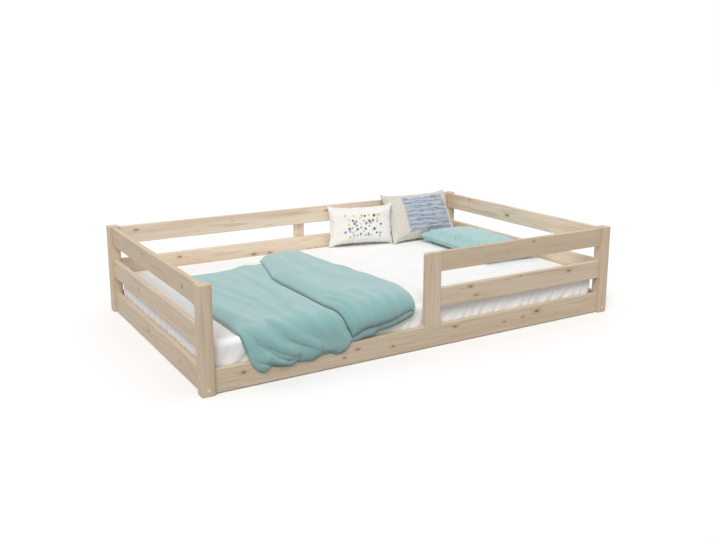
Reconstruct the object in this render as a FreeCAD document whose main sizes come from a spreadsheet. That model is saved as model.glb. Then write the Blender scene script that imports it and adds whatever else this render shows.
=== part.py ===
import FreeCAD, Part
import math
import os
import Sketcher
from FreeCAD import Placement, Rotation, Vector

# Toddler floor bed for a 120 x 200 cm mattress: four posts, rails tenoned into them and drawn
# up with bolts and barrel nuts, a half guard at the front, a slatted base and its bedding.
# Frame: +X from the foot end to the head end, +Y from the open front to the back, +Z up,
# origin on the floor under the middle of the bed. Millimetres.

doc = FreeCAD.newDocument("floor_bed")
sizes = doc.addObject("Spreadsheet::Sheet", "sizes")

DRIVING_SIZES = (
    ("bed_length", 2080, "over the posts, foot end to head end"),
    ("bed_width", 1280, "over the posts, front to back"),
    ("post_side", 52, "square post"),
    ("post_height", 425, "floor to post top"),
    ("post_round", 5, "rounding of the upright post edges"),
    ("post_top_round", 3, "rounding round the post top"),
    ("rail_thick", 23, "all rails, centred on the posts"),
    ("rail_round", 3, "rounding of the long rail edges"),
    ("bottom_rail_base", 3, "floor to the underside of the bottom rails"),
    ("bottom_rail_height", 94, "bottom rails"),
    ("mid_rail_base", 172.5, "floor to the underside of the mid rails"),
    ("top_rail_base", 332.5, "floor to the underside of the top rails"),
    ("guard_rail_height", 86.5, "mid and top rails"),
    ("tenon_length", 15, "stub tenon at a rail end"),
    ("tenon_thick", 12, "stub tenon"),
    ("tenon_shoulder", 12, "step above and below a tenon"),
    ("joint_clearance", 0.1, "glue line round a tenon"),
    ("mortise_extra", 1, "mortise deeper than its tenon"),
    ("upright_center", 3, "middle of the guard upright, along X"),
    ("upright_width", 80, "guard upright"),
    ("upright_corner", 12, "rounded top corner beside the opening"),
    ("bolt_diameter", 6, "joint bolt"),
    ("bolt_bore", 7, "clearance hole for a joint bolt"),
    ("bolt_head_diameter", 12, "round socket head"),
    ("bolt_head_height", 5, "round socket head"),
    ("socket_across", 4, "hexagon socket, across corners"),
    ("socket_depth", 3, "hexagon socket"),
    ("counterbore_diameter", 16, "pocket for head and cap"),
    ("counterbore_depth", 9, "pocket for head and cap"),
    ("bolt_overrun", 6, "bore goes on past the barrel nut"),
    ("nut_diameter", 10, "barrel nut"),
    ("nut_length", 14, "barrel nut"),
    ("nut_clearance", 0.2, "round a barrel nut"),
    ("nut_setback", 22, "shoulder to the barrel nut axis"),
    ("end_bolt_rise", 22, "bolt of an end rail above its underside"),
    ("long_bolt_rise", 68, "bolt of a long bottom rail above its underside"),
    ("cap_thick", 3, "cover cap in the counterbore"),
    ("cap_inset", 0.3, "cap below the post face"),
    ("stile_width", 60, "batten behind the back rails"),
    ("stile_thick", 14, "batten behind the back rails"),
    ("stile_end_inset", 8, "batten ends inside the rail edges"),
    ("ledger_thick", 22, "strip that carries the slats"),
    ("ledger_height", 24, "strip that carries the slats"),
    ("ledger_end_inset", 30, "ledger end to the end rail"),
    ("slat_top", 50, "floor to the top of the slats"),
    ("slat_thick", 18, "pine slat"),
    ("slat_width", 70, "pine slat"),
    ("slat_end_gap", 1, "slat end to the rail face"),
    ("slat_first_inset", 60, "end rail face to the first slat's middle"),
    ("slat_count", 14, "number of slats"),
    ("slat_round", 2.5, "rounding of the slat edges"),
    ("tape_width", 25, "woven tape under the slats"),
    ("tape_thick", 0.8, "woven tape under the slats"),
    ("tape_inset", 30, "tape edge to the ledger"),
    ("beam_width", 44, "beam under the middle of the slats"),
    ("beam_end_gap", 2, "beam end to the end rail"),
    ("screw_diameter", 4, "wood screw"),
    ("screw_head_diameter", 8, "countersunk head"),
    ("screw_bite", 18, "screw length in the piece behind"),
    ("screw_point", 5, "tapered tip of a screw"),
    ("screw_clearance", 0.25, "hole round a screw"),
    ("mattress_end_gap", 6.5, "mattress to the end rails"),
    ("mattress_side_gap", 5.5, "mattress to the long rails"),
    ("mattress_height", 138, "foam mattress"),
    ("mattress_corner", 55, "mattress corner seen from above"),
    ("mattress_edge", 24, "rounded mattress edge"),
    ("sheet_thick", 1.2, "jersey fitted sheet"),
    ("sheet_tuck", 110, "sheet hem drawn in under the mattress"),
    ("rest_gap", 0.3, "between a soft piece and what it lies on"),
    ("duvet_foot_edge", 128, "end rail face at the foot to the duvet edge"),
    ("duvet_guard_gap", 37.5, "folded edge of the duvet to the guard upright"),
    ("duvet_flap", 390, "part of the duvet folded back over itself"),
    ("duvet_back_inset", 197, "duvet edge to the back of the sheet"),
    ("duvet_loft", 26, "one layer of the duvet"),
    ("duvet_hem_loft", 12, "duvet hem in front of the rail"),
    ("duvet_drop", 42, "hem below the top of the front rail"),
    ("duvet_wave", 7, "height of the duvet's folds"),
    ("pillow_length", 660, "sleeping pillow, across the bed"),
    ("pillow_width", 350, "sleeping pillow, along the bed"),
    ("pillow_loft", 84, "sleeping pillow"),
    ("pillow_back_inset", 185, "pillow end to the back rail"),
    ("pillow_head_inset", 22, "pillow side to the head rail"),
    ("large_cushion_length", 460, "large scatter cushion"),
    ("large_cushion_height", 292, "large scatter cushion"),
    ("large_cushion_loft", 105, "large scatter cushion"),
    ("large_cushion_inset", 272.5, "head rail to the middle of the large cushion"),
    ("large_cushion_lean", 25, "degrees back from upright"),
    ("small_cushion_length", 385, "small scatter cushion"),
    ("small_cushion_height", 228, "small scatter cushion"),
    ("small_cushion_loft", 92, "small scatter cushion"),
    ("small_cushion_inset", 672.5, "head rail to the middle of the small cushion"),
    ("small_cushion_lean", 8, "degrees back from upright"),
    ("small_cushion_turn", 13, "degrees its right side comes forward"),
    ("cushion_pinch", 0.045, "how far the sides draw in, as a share of their length"),
)

for row, (alias, value, note) in enumerate(DRIVING_SIZES, start=1):
    sizes.set("A%d" % row, alias)
    sizes.set("B%d" % row, str(value))
    sizes.set("C%d" % row, note)
    sizes.setAlias("B%d" % row, alias)
doc.recompute()


def size(alias):
    """A driving dimension as a plain number."""
    return float(getattr(sizes, alias))


def number(text):
    """The value of an expression over the sheet."""
    return float(doc.getObject("sizes").evalExpression(text.replace("sizes.", "")))


# ---------------------------------------------------------------- sketches and features

def new_body(label):
    body = doc.addObject("PartDesign::Body", label)
    body.Label = label
    return body


def new_sketch(body, role, name, offset="0"):
    """A sketch on the body's own XY, XZ or YZ plane, moved along the plane's normal."""
    sketch = body.newObject("Sketcher::SketchObject", name)
    plane = next(item for item in body.Origin.OriginFeatures if item.Role == role)
    sketch.AttachmentSupport = (plane, "")
    sketch.MapMode = "FlatFace"
    sketch.setExpression("AttachmentOffset.Base.z", offset)
    return sketch


def add_datum(sketch, kind, places, name, text):
    index = sketch.addConstraint(Sketcher.Constraint(kind, *places, number(text)))
    sketch.renameConstraint(index, name)
    sketch.setExpression("Constraints." + name, text)


def add_rectangle(sketch, tag, low_x, low_y, width, height):
    """A rectangle from its low corner; all four arguments are expressions."""
    x, y, w, h = (number(text) for text in (low_x, low_y, width, height))
    corners = [Vector(x, y), Vector(x + w, y), Vector(x + w, y + h), Vector(x, y + h)]
    first = sketch.GeometryCount
    for i in range(4):
        sketch.addGeometry(Part.LineSegment(corners[i], corners[(i + 1) % 4]))
    for i in range(4):
        sketch.addConstraint(Sketcher.Constraint("Coincident", first + i, 2, first + (i + 1) % 4, 1))
    for i in (0, 2):
        sketch.addConstraint(Sketcher.Constraint("Horizontal", first + i))
        sketch.addConstraint(Sketcher.Constraint("Vertical", first + i + 1))
    add_datum(sketch, "DistanceX", (first, 1, first, 2), tag + "_w", width)
    add_datum(sketch, "DistanceY", (first + 1, 1, first + 1, 2), tag + "_h", height)
    add_datum(sketch, "DistanceX", (-1, 1, first, 1), tag + "_x", low_x)
    add_datum(sketch, "DistanceY", (-1, 1, first, 1), tag + "_y", low_y)


def add_circle(sketch, tag, x, y, diameter):
    center = Vector(number(x), number(y))
    index = sketch.addGeometry(Part.Circle(center, Vector(0, 0, 1), number(diameter) / 2))
    add_datum(sketch, "Diameter", (index,), tag + "_d", diameter)
    add_datum(sketch, "DistanceX", (-1, 1, index, 3), tag + "_x", x)
    add_datum(sketch, "DistanceY", (-1, 1, index, 3), tag + "_y", y)


def pad(body, sketch, name, length, midplane=False, back=False):
    feature = body.newObject("PartDesign::Pad", name)
    feature.Profile = sketch
    feature.setExpression("Length", length)
    feature.Midplane = midplane
    feature.Reversed = back
    doc.recompute()
    return feature


def pocket(body, sketch, name, depth, along_normal=False):
    """Cuts against the sketch plane's normal, or along it, and checks that it did cut."""
    before = body.Shape.Volume
    feature = body.newObject("PartDesign::Pocket", name)
    feature.Profile = sketch
    feature.setExpression("Length", depth)
    feature.Reversed = along_normal
    doc.recompute()
    if not body.Shape.Volume < before - 1:
        raise RuntimeError("%s in %s cuts nothing" % (name, body.Label))
    return feature


def round_edges(body, name, radius, wanted):
    """Rounds the edges of the body that the test picks."""
    base = body.Tip
    names = ["Edge%d" % (i + 1) for i, edge in enumerate(base.Shape.Edges) if wanted(edge)]
    feature = body.newObject("PartDesign::Fillet", name)
    feature.Base = (base, names)
    feature.setExpression("Radius", radius)
    doc.recompute()
    return feature


def runs_along(edge, axis):
    """True for a straight edge along the axis."""
    if not isinstance(edge.Curve, Part.Line):
        return False
    return abs(abs(edge.Curve.Direction.dot(axis)) - 1) < 1e-6


ALONG_X, ALONG_Y, ALONG_Z = Vector(1, 0, 0), Vector(0, 1, 0), Vector(0, 0, 1)


def place(item, x="0", y="0", z="0", turn="0", axis=ALONG_Z):
    """Puts a piece at x, y, z, turned about the axis; all are expressions."""
    item.Placement = Placement(Vector(0, 0, 0), Rotation(axis, 1.0))
    item.setExpression("Placement.Rotation.Angle", turn)
    for letter, text in zip("xyz", (x, y, z)):
        item.setExpression("Placement.Base." + letter, text)
    return item


# ---------------------------------------------------------------- places worked out once

HALF_LENGTH = "sizes.bed_length / 2"
HALF_WIDTH = "sizes.bed_width / 2"
HALF_POST = "sizes.post_side / 2"
POST_X = "(sizes.bed_length - sizes.post_side) / 2"
POST_Y = "(sizes.bed_width - sizes.post_side) / 2"
END_RAIL_FACE = "((sizes.bed_length - sizes.post_side - sizes.rail_thick) / 2)"
LONG_RAIL_FACE = "((sizes.bed_width - sizes.post_side - sizes.rail_thick) / 2)"
BOTTOM_RAIL_TOP = "(sizes.bottom_rail_base + sizes.bottom_rail_height)"
BOLT_GRIP = "(sizes.post_side - sizes.counterbore_depth)"
SLAT_UNDERSIDE = "(sizes.slat_top - sizes.slat_thick)"
MATTRESS_LENGTH = "(2 * %s - 2 * sizes.mattress_end_gap)" % END_RAIL_FACE
MATTRESS_WIDTH = "(2 * %s - 2 * sizes.mattress_side_gap)" % LONG_RAIL_FACE

# rail level: underside, height, bolt above the underside of a long rail
LEVELS = {
    "bottom": ("sizes.bottom_rail_base", "sizes.bottom_rail_height", "sizes.long_bolt_rise"),
    "mid": ("sizes.mid_rail_base", "sizes.guard_rail_height", "sizes.guard_rail_height / 2"),
    "top": ("sizes.top_rail_base", "sizes.guard_rail_height", "sizes.guard_rail_height / 2"),
}


# ---------------------------------------------------------------- posts

def cut_mortises(body, role, offset, bases, inward):
    """Mortises for the tenons of the rails that stand at the given undersides."""
    sketch = new_sketch(body, role, "mortises", offset)
    for tag, (base, height) in bases.items():
        add_rectangle(
            sketch, tag,
            "-sizes.tenon_thick / 2 - sizes.joint_clearance",
            base + " + sizes.tenon_shoulder - sizes.joint_clearance",
            "sizes.tenon_thick + 2 * sizes.joint_clearance",
            height + " - 2 * sizes.tenon_shoulder + 2 * sizes.joint_clearance")
    pocket(body, sketch, "mortise_cut", "sizes.tenon_length + sizes.mortise_extra", inward)


def cut_bolt_holes(body, role, offset, heights, along_normal):
    """Bores right through the post, each with a counterbore in the outer face."""
    for name, diameter, depth in (
            ("bores", "sizes.bolt_bore", "sizes.post_side"),
            ("counterbores", "sizes.counterbore_diameter", "sizes.counterbore_depth")):
        sketch = new_sketch(body, role, name, offset)
        for i, height in enumerate(heights):
            add_circle(sketch, "at%d" % i, "0", height, diameter)
        pocket(body, sketch, name + "_cut", depth, along_normal)


def make_post(label, x_sign, y_sign, turn, x_levels, y_levels, x_bolts, y_bolts):
    """A post whose local +X and +Y faces take the rails of the given levels."""
    body = new_body(label)
    section = new_sketch(body, "XY_Plane", "section")
    add_rectangle(section, "post", "-" + HALF_POST, "-" + HALF_POST, "sizes.post_side",
                  "sizes.post_side")
    pad(body, section, "blank", "sizes.post_height")
    round_edges(body, "edges", "sizes.post_round", lambda edge: runs_along(edge, ALONG_Z))
    top = size("post_height")
    round_edges(body, "top_edges", "sizes.post_top_round",
                lambda edge: edge.BoundBox.ZMin > top - 0.01)
    # the YZ plane looks along +X and the XZ plane along -Y
    cut_mortises(body, "YZ_Plane", HALF_POST, {name: LEVELS[name][:2] for name in x_levels}, False)
    cut_mortises(body, "XZ_Plane", "-" + HALF_POST,
                 {name: LEVELS[name][:2] for name in y_levels}, True)
    cut_bolt_holes(body, "YZ_Plane", "-" + HALF_POST, x_bolts, True)
    cut_bolt_holes(body, "XZ_Plane", HALF_POST, y_bolts, False)
    return place(body, "%d * %s" % (x_sign, POST_X), "%d * %s" % (y_sign, POST_Y), "0", turn)


ALL_LEVELS = ("bottom", "mid", "top")
END_BOLT = ["sizes.bottom_rail_base + sizes.end_bolt_rise"]
LONG_BOLTS = {name: "%s + %s" % (LEVELS[name][0], LEVELS[name][2]) for name in ALL_LEVELS}
ALL_LONG = [LONG_BOLTS[name] for name in ALL_LEVELS]

make_post("post_front_foot", -1, -1, "0", ("bottom",), ALL_LEVELS, [LONG_BOLTS["bottom"]], END_BOLT)
make_post("post_front_head", 1, -1, "90", ALL_LEVELS, ALL_LEVELS, END_BOLT, ALL_LONG)
make_post("post_back_head", 1, 1, "180", ALL_LEVELS, ALL_LEVELS, ALL_LONG, END_BOLT)
make_post("post_back_foot", -1, 1, "270", ALL_LEVELS, ALL_LEVELS, END_BOLT, ALL_LONG)


# ---------------------------------------------------------------- rails

def make_board(label, length, thick, height, rounding):
    """A board along local X with its four long edges rounded, standing on local Z = 0."""
    body = new_body(label)
    section = new_sketch(body, "YZ_Plane", "section")
    add_rectangle(section, "board", "-%s / 2" % thick, "0", thick, height)
    pad(body, section, "blank", length, midplane=True)
    round_edges(body, "long_edges", rounding, lambda edge: runs_along(edge, ALONG_X))
    return body


def make_rail(label, length, height, bolt_rise, bolted_ends=(-1, 1)):
    """A rail with a stub tenon at both ends; a bolted end has a bore and a barrel nut hole."""
    body = make_board(label, length, "sizes.rail_thick", height, "sizes.rail_round")
    tongue = new_sketch(body, "YZ_Plane", "tenon_section")
    add_rectangle(tongue, "tenon", "-sizes.tenon_thick / 2", "sizes.tenon_shoulder",
                  "sizes.tenon_thick", height + " - 2 * sizes.tenon_shoulder")
    pad(body, tongue, "tenons", length + " + 2 * sizes.tenon_length", midplane=True)
    for end in bolted_ends:
        side = "head" if end > 0 else "foot"
        drill = new_sketch(body, "YZ_Plane", "bore_" + side,
                           "%d * (%s / 2 + sizes.tenon_length)" % (end, length))
        add_circle(drill, "bore", "0", bolt_rise, "sizes.bolt_bore")
        pocket(body, drill, "bore_cut_" + side,
               "sizes.tenon_length + sizes.nut_setback + sizes.bolt_overrun", end < 0)
        across = new_sketch(body, "XZ_Plane", "nut_hole_" + side, "sizes.rail_thick / 2")
        add_circle(across, "nut", "%d * (%s / 2 - sizes.nut_setback)" % (end, length), bolt_rise,
                   "sizes.nut_diameter + 2 * sizes.nut_clearance")
        pocket(body, across, "nut_cut_" + side,
               "(sizes.rail_thick + sizes.nut_length) / 2 + sizes.nut_clearance")
    return body


END_RAIL_LENGTH = "(sizes.bed_width - 2 * sizes.post_side)"
LONG_RAIL_LENGTH = "(sizes.bed_length - 2 * sizes.post_side)"
UPRIGHT_HEAD_FACE = "(sizes.upright_center + sizes.upright_width / 2)"
GUARD_END = "(sizes.bed_length / 2 - sizes.post_side)"
GUARD_RAIL_LENGTH = "(%s - %s)" % (GUARD_END, UPRIGHT_HEAD_FACE)

for level in ALL_LEVELS:
    underside, tall, rise = LEVELS[level]
    # the barrel nuts go in from the face that is out of sight: local -Y
    for end_name, sign, turn in (("foot", -1, "90"), ("head", 1, "-90")):
        end_bolts = (-1, 1) if level == "bottom" else ()
        rail = make_rail("%s_rail_%s" % (end_name, level), END_RAIL_LENGTH, tall,
                         "sizes.end_bolt_rise", end_bolts)
        place(rail, "%d * %s" % (sign, POST_X), "0", underside, turn)
    rail = make_rail("back_rail_%s" % level, LONG_RAIL_LENGTH, tall, rise)
    place(rail, "0", POST_Y, underside, "0" if level == "bottom" else "180")
    if level != "bottom":
        # turned half round, so the bolted end at the head post is the local foot end
        rail = make_rail("guard_rail_%s" % level, GUARD_RAIL_LENGTH, tall, rise, (-1,))
        place(rail, "(%s + %s) / 2" % (GUARD_END, UPRIGHT_HEAD_FACE), "-" + POST_Y, underside, "180")

# The front rail also carries the guard upright: a mortise in its top edge and, from below,
# a deep counterbore so that the same bolt reaches the upright.
front_rail = make_rail("front_rail_bottom", LONG_RAIL_LENGTH, "sizes.bottom_rail_height",
                       LEVELS["bottom"][2])
foot_mortise = new_sketch(front_rail, "XY_Plane", "upright_mortise", "sizes.bottom_rail_height")
add_rectangle(foot_mortise, "foot",
              "-sizes.upright_center - sizes.upright_width / 2 + sizes.tenon_shoulder"
              " - sizes.joint_clearance",
              "-sizes.tenon_thick / 2 - sizes.joint_clearance",
              "sizes.upright_width - 2 * sizes.tenon_shoulder + 2 * sizes.joint_clearance",
              "sizes.tenon_thick + 2 * sizes.joint_clearance")
pocket(front_rail, foot_mortise, "upright_mortise_cut", "sizes.tenon_length + sizes.mortise_extra")
for hole_name, wide, deep in (
        ("upright_bore", "sizes.bolt_bore", "sizes.bottom_rail_height"),
        ("upright_counterbore", "sizes.counterbore_diameter",
         "sizes.bottom_rail_height - " + BOLT_GRIP)):
    hole = new_sketch(front_rail, "XY_Plane", hole_name)
    add_circle(hole, "hole", "-sizes.upright_center", "0", wide)
    pocket(front_rail, hole, hole_name + "_cut", deep, True)
place(front_rail, "0", "-" + POST_Y, "sizes.bottom_rail_base", "180")


# ---------------------------------------------------------------- guard upright

UPRIGHT_HEIGHT = "(sizes.top_rail_base + sizes.guard_rail_height - %s)" % BOTTOM_RAIL_TOP
upright = new_body("guard_upright")
plan = new_sketch(upright, "XY_Plane", "section")
add_rectangle(plan, "upright", "-sizes.upright_width / 2", "-sizes.rail_thick / 2",
              "sizes.upright_width", "sizes.rail_thick")
pad(upright, plan, "blank", UPRIGHT_HEIGHT)
upright_top, upright_side = number(UPRIGHT_HEIGHT), -size("upright_width") / 2
round_edges(upright, "opening_corner", "sizes.upright_corner",
            lambda edge: runs_along(edge, ALONG_Y) and edge.BoundBox.ZMin > upright_top - 0.01
            and edge.BoundBox.XMax < upright_side + 0.01)
half_rail = size("rail_thick") / 2
round_edges(upright, "face_edges", "sizes.rail_round",
            lambda edge: edge.BoundBox.YLength < 0.01 and edge.BoundBox.ZMax > 0.01
            and abs(abs(edge.BoundBox.YMin) - half_rail) < 0.01)
tongue = new_sketch(upright, "XY_Plane", "tenon_section")
add_rectangle(tongue, "tenon", "-sizes.upright_width / 2 + sizes.tenon_shoulder",
              "-sizes.tenon_thick / 2", "sizes.upright_width - 2 * sizes.tenon_shoulder",
              "sizes.tenon_thick")
pad(upright, tongue, "tenon", "sizes.tenon_length", back=True)
cut_mortises(upright, "YZ_Plane", "sizes.upright_width / 2",
             {name: ("%s - %s" % (LEVELS[name][0], BOTTOM_RAIL_TOP), LEVELS[name][1])
              for name in ("mid", "top")}, False)
drill = new_sketch(upright, "XY_Plane", "bore", "-sizes.tenon_length")
add_circle(drill, "bore", "0", "0", "sizes.bolt_bore")
pocket(upright, drill, "bore_cut", "sizes.tenon_length + sizes.nut_setback + sizes.bolt_overrun",
       True)
across = new_sketch(upright, "XZ_Plane", "nut_hole", "-sizes.rail_thick / 2")
add_circle(across, "nut", "0", "sizes.nut_setback", "sizes.nut_diameter + 2 * sizes.nut_clearance")
pocket(upright, across, "nut_cut", "(sizes.rail_thick + sizes.nut_length) / 2 + sizes.nut_clearance",
       True)
place(upright, "sizes.upright_center", "-" + POST_Y, BOTTOM_RAIL_TOP)


# ---------------------------------------------------------------- screwed strips and slats

def drill_screws(body, role, offset, centers, along_normal, through):
    """Clearance holes with countersinks for wood screws; centers are pairs of expressions."""
    hole_sketch = new_sketch(body, role, "screw_holes", offset)
    for i, (x, y) in enumerate(centers):
        add_circle(hole_sketch, "at%d" % i, x, y, "sizes.screw_diameter + 2 * sizes.screw_clearance")
    pocket(body, hole_sketch, "screw_holes_cut", through, along_normal)
    sink_sketch = new_sketch(body, role, "countersinks", offset)
    for i, (x, y) in enumerate(centers):
        add_circle(sink_sketch, "at%d" % i, x, y,
                   "sizes.screw_head_diameter + 2 * sizes.screw_clearance")
    sinks = pocket(body, sink_sketch, "countersinks_cut",
                   "(sizes.screw_head_diameter - sizes.screw_diameter) / 2", along_normal)
    sinks.TaperAngle = -44.9
    doc.recompute()


STILE_BASE = "(sizes.bottom_rail_base + sizes.stile_end_inset)"
STILE_LENGTH = "(sizes.top_rail_base + sizes.guard_rail_height - sizes.stile_end_inset - %s)" % STILE_BASE
STILE_SCREW_RISE = {name: "(%s + %s / 2)" % LEVELS[name][:2] for name in ALL_LEVELS}
stile = make_board("back_stile", STILE_LENGTH, "sizes.stile_thick", "sizes.stile_width",
                   "sizes.slat_round")
STILE_MIDDLE = "(%s + %s / 2)" % (STILE_BASE, STILE_LENGTH)
stile_holes = [("%s - %s" % (STILE_MIDDLE, STILE_SCREW_RISE[name]),
                "sizes.stile_width * %s" % share) for name in ALL_LEVELS for share in (0.25, 0.75)]
drill_screws(stile, "XZ_Plane", "-sizes.stile_thick / 2", stile_holes, True, "sizes.stile_thick")
# local X points down and local Z to the head end, so local Y stays the back
place(stile, "-sizes.stile_width / 2",
      "%s + sizes.rail_thick + sizes.stile_thick / 2" % LONG_RAIL_FACE, STILE_MIDDLE, "90", ALONG_Y)

LEDGER_LENGTH = "(2 * %s - 2 * sizes.ledger_end_inset)" % END_RAIL_FACE
LEDGER_SCREWS = [-5, -3, -1, 1, 3, 5]
for side_name, sign, turn in (("front", -1, "180"), ("back", 1, "0")):
    ledger = make_board("ledger_" + side_name, LEDGER_LENGTH, "sizes.ledger_thick",
                        "sizes.ledger_height", "sizes.slat_round")
    ledger_holes = [("%d * %s / 12" % (share, LEDGER_LENGTH), "sizes.ledger_height / 2")
                    for share in LEDGER_SCREWS]
    drill_screws(ledger, "XZ_Plane", "sizes.ledger_thick / 2", ledger_holes, False,
                 "sizes.ledger_thick")
    place(ledger, "0", "%d * (%s - sizes.ledger_thick / 2)" % (sign, LONG_RAIL_FACE),
          SLAT_UNDERSIDE + " - sizes.ledger_height", turn)

beam = make_board("center_beam", "2 * %s - 2 * sizes.beam_end_gap" % END_RAIL_FACE,
                  "sizes.beam_width", SLAT_UNDERSIDE, "sizes.slat_round")
place(beam)

SLAT_LENGTH = "(2 * %s - 2 * sizes.slat_end_gap)" % LONG_RAIL_FACE
LEDGER_MIDDLE = "(%s - sizes.ledger_thick / 2)" % LONG_RAIL_FACE
FIRST_SLAT = "(%s - sizes.slat_first_inset)" % END_RAIL_FACE
slat_total = int(size("slat_count"))
for index in range(slat_total):
    slat = make_board("slat_%02d" % (index + 1), SLAT_LENGTH, "sizes.slat_width",
                      "sizes.slat_thick", "sizes.slat_round")
    if index in (0, slat_total - 1):
        slat_holes = [(side + LEDGER_MIDDLE, "0") for side in ("-", "")]
        slat_holes.insert(1, ("0", "0"))
        drill_screws(slat, "XY_Plane", "sizes.slat_thick", slat_holes, False, "sizes.slat_thick")
    place(slat, "%s * (2 * %d / (sizes.slat_count - 1) - 1)" % (FIRST_SLAT, index), "0",
          SLAT_UNDERSIDE, "90")

tapes = []
for side_name, sign in (("front", -1), ("back", 1)):
    tape = doc.addObject("Part::Box", "tape_" + side_name)
    tape.setExpression("Length", "2 * %s + sizes.slat_width" % FIRST_SLAT)
    tape.setExpression("Width", "sizes.tape_width")
    tape.setExpression("Height", "sizes.tape_thick")
    low_y = "%d * (%s - sizes.ledger_thick - sizes.tape_inset) - sizes.tape_width / 2"
    place(tape, "-%s - sizes.slat_width / 2" % FIRST_SLAT, low_y % (sign, LONG_RAIL_FACE),
          SLAT_UNDERSIDE + " - sizes.tape_thick")
    tapes.append(tape)
slat_tapes = doc.addObject("Part::Compound", "slat_tapes")
slat_tapes.Links = tapes
slat_tapes.Label = "slat_tapes"
doc.recompute()


# ---------------------------------------------------------------- bolts, nuts, caps and screws

def revolve_profile(points):
    """A turned solid about Z through (radius, height) points."""
    wire = Part.makePolygon([Vector(r, 0, z) for r, z in points + points[:1]])
    return Part.Face(wire).revolve(Vector(0, 0, 0), ALONG_Z, 360)


def feature(label, shape):
    item = doc.addObject("Part::Feature", label)
    item.Label = label
    item.Shape = shape
    return item


def facing(direction, origin):
    """The placement that takes local +Z to the direction and the local origin to the place."""
    return Placement(origin, Rotation(ALONG_Z, direction))


post_x, post_y = number(POST_X), number(POST_Y)
half_length, half_width = number(HALF_LENGTH), number(HALF_WIDTH)
inner_x, inner_y = number(END_RAIL_FACE), number(LONG_RAIL_FACE)

# A joint bolt: its outer face, the way it goes in, and the face its barrel nut goes in from.
joint_bolts = []
for x_sign in (-1, 1):
    for y_sign in (-1, 1):
        joint_bolts.append((Vector(x_sign * post_x, y_sign * half_width, number(END_BOLT[0])),
                            Vector(0, -y_sign, 0), Vector(-x_sign, 0, 0)))
    for level in ALL_LEVELS:
        height = number(LONG_BOLTS[level])
        hidden_face = Vector(0, -1, 0) if level == "bottom" else Vector(0, 1, 0)
        joint_bolts.append((Vector(x_sign * half_length, post_y, height), Vector(-x_sign, 0, 0),
                            hidden_face))
        if level == "bottom" or x_sign > 0:
            joint_bolts.append((Vector(x_sign * half_length, -post_y, height),
                                Vector(-x_sign, 0, 0), Vector(0, 1, 0)))
grip_start = number(BOTTOM_RAIL_TOP) - number(BOLT_GRIP) - size("counterbore_depth")
upright_bolt = (Vector(size("upright_center"), -post_y, grip_start), Vector(0, 0, 1), Vector(0, 1, 0))

bolt_length = number(BOLT_GRIP) + size("nut_setback") + size("nut_diameter") / 2
head_radius, shank_radius = size("bolt_head_diameter") / 2, size("bolt_diameter") / 2
bolt_blank = revolve_profile([
    (0, -size("bolt_head_height")), (head_radius - 1, -size("bolt_head_height")),
    (head_radius, 1 - size("bolt_head_height")), (head_radius, 0), (shank_radius, 0),
    (shank_radius, bolt_length - 1), (shank_radius - 1, bolt_length), (0, bolt_length)])
socket_corners = [Vector(size("socket_across") / 2 * math.cos(math.radians(60 * i)),
                         size("socket_across") / 2 * math.sin(math.radians(60 * i)),
                         -size("bolt_head_height")) for i in range(7)]
socket = Part.Face(Part.makePolygon(socket_corners)).extrude(Vector(0, 0, size("socket_depth")))
bolt = bolt_blank.cut(socket)
nut = Part.makeCylinder(size("nut_diameter") / 2, size("nut_length"),
                        Vector(0, 0, -size("nut_length") / 2))
nut = nut.cut(Part.makeCylinder(shank_radius + size("joint_clearance"), size("nut_diameter"),
                                Vector(-size("nut_diameter") / 2, 0, 0), ALONG_X))
cap_radius = size("counterbore_diameter") / 2 - size("joint_clearance")
cap = revolve_profile([(0, size("cap_inset")), (cap_radius - 1, size("cap_inset")),
                       (cap_radius, size("cap_inset") + 0.6),
                       (cap_radius, size("cap_inset") + size("cap_thick")),
                       (0, size("cap_inset") + size("cap_thick"))])

bolts, nuts, caps = [], [], []
for outer, inward, nut_side in joint_bolts + [upright_bolt]:
    seat = outer + inward * size("counterbore_depth")
    bolts.append(bolt.transformed(facing(inward, seat).toMatrix()))
    nut_place = Placement(seat + inward * (number(BOLT_GRIP) + size("nut_setback")),
                          Rotation(inward, nut_side.cross(inward), nut_side, "ZXY"))
    nuts.append(nut.transformed(nut_place.toMatrix()))
for outer, inward, nut_side in joint_bolts:
    caps.append(cap.transformed(facing(inward, outer).toMatrix()))
feature("joint_bolts", Part.makeCompound(bolts))
feature("barrel_nuts", Part.makeCompound(nuts))
feature("bolt_caps", Part.makeCompound(caps))


def wood_screw(through):
    """A countersunk screw from its head face down to its point, along +Z."""
    head, core = size("screw_head_diameter") / 2, size("screw_diameter") / 2
    length = through + size("screw_bite")
    rim, sink = head - 0.2, 0.2
    return revolve_profile([(0, sink), (rim, sink), (rim, 2 * sink), (core, head - core + sink / 2),
                            (core, length - size("screw_point")), (0, length)])


def screw_group(label, through, places, direction_of):
    screw = wood_screw(through)
    feature(label, Part.makeCompound([
        screw.transformed(facing(direction_of(spot), spot).toMatrix()) for spot in places]))


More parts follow.
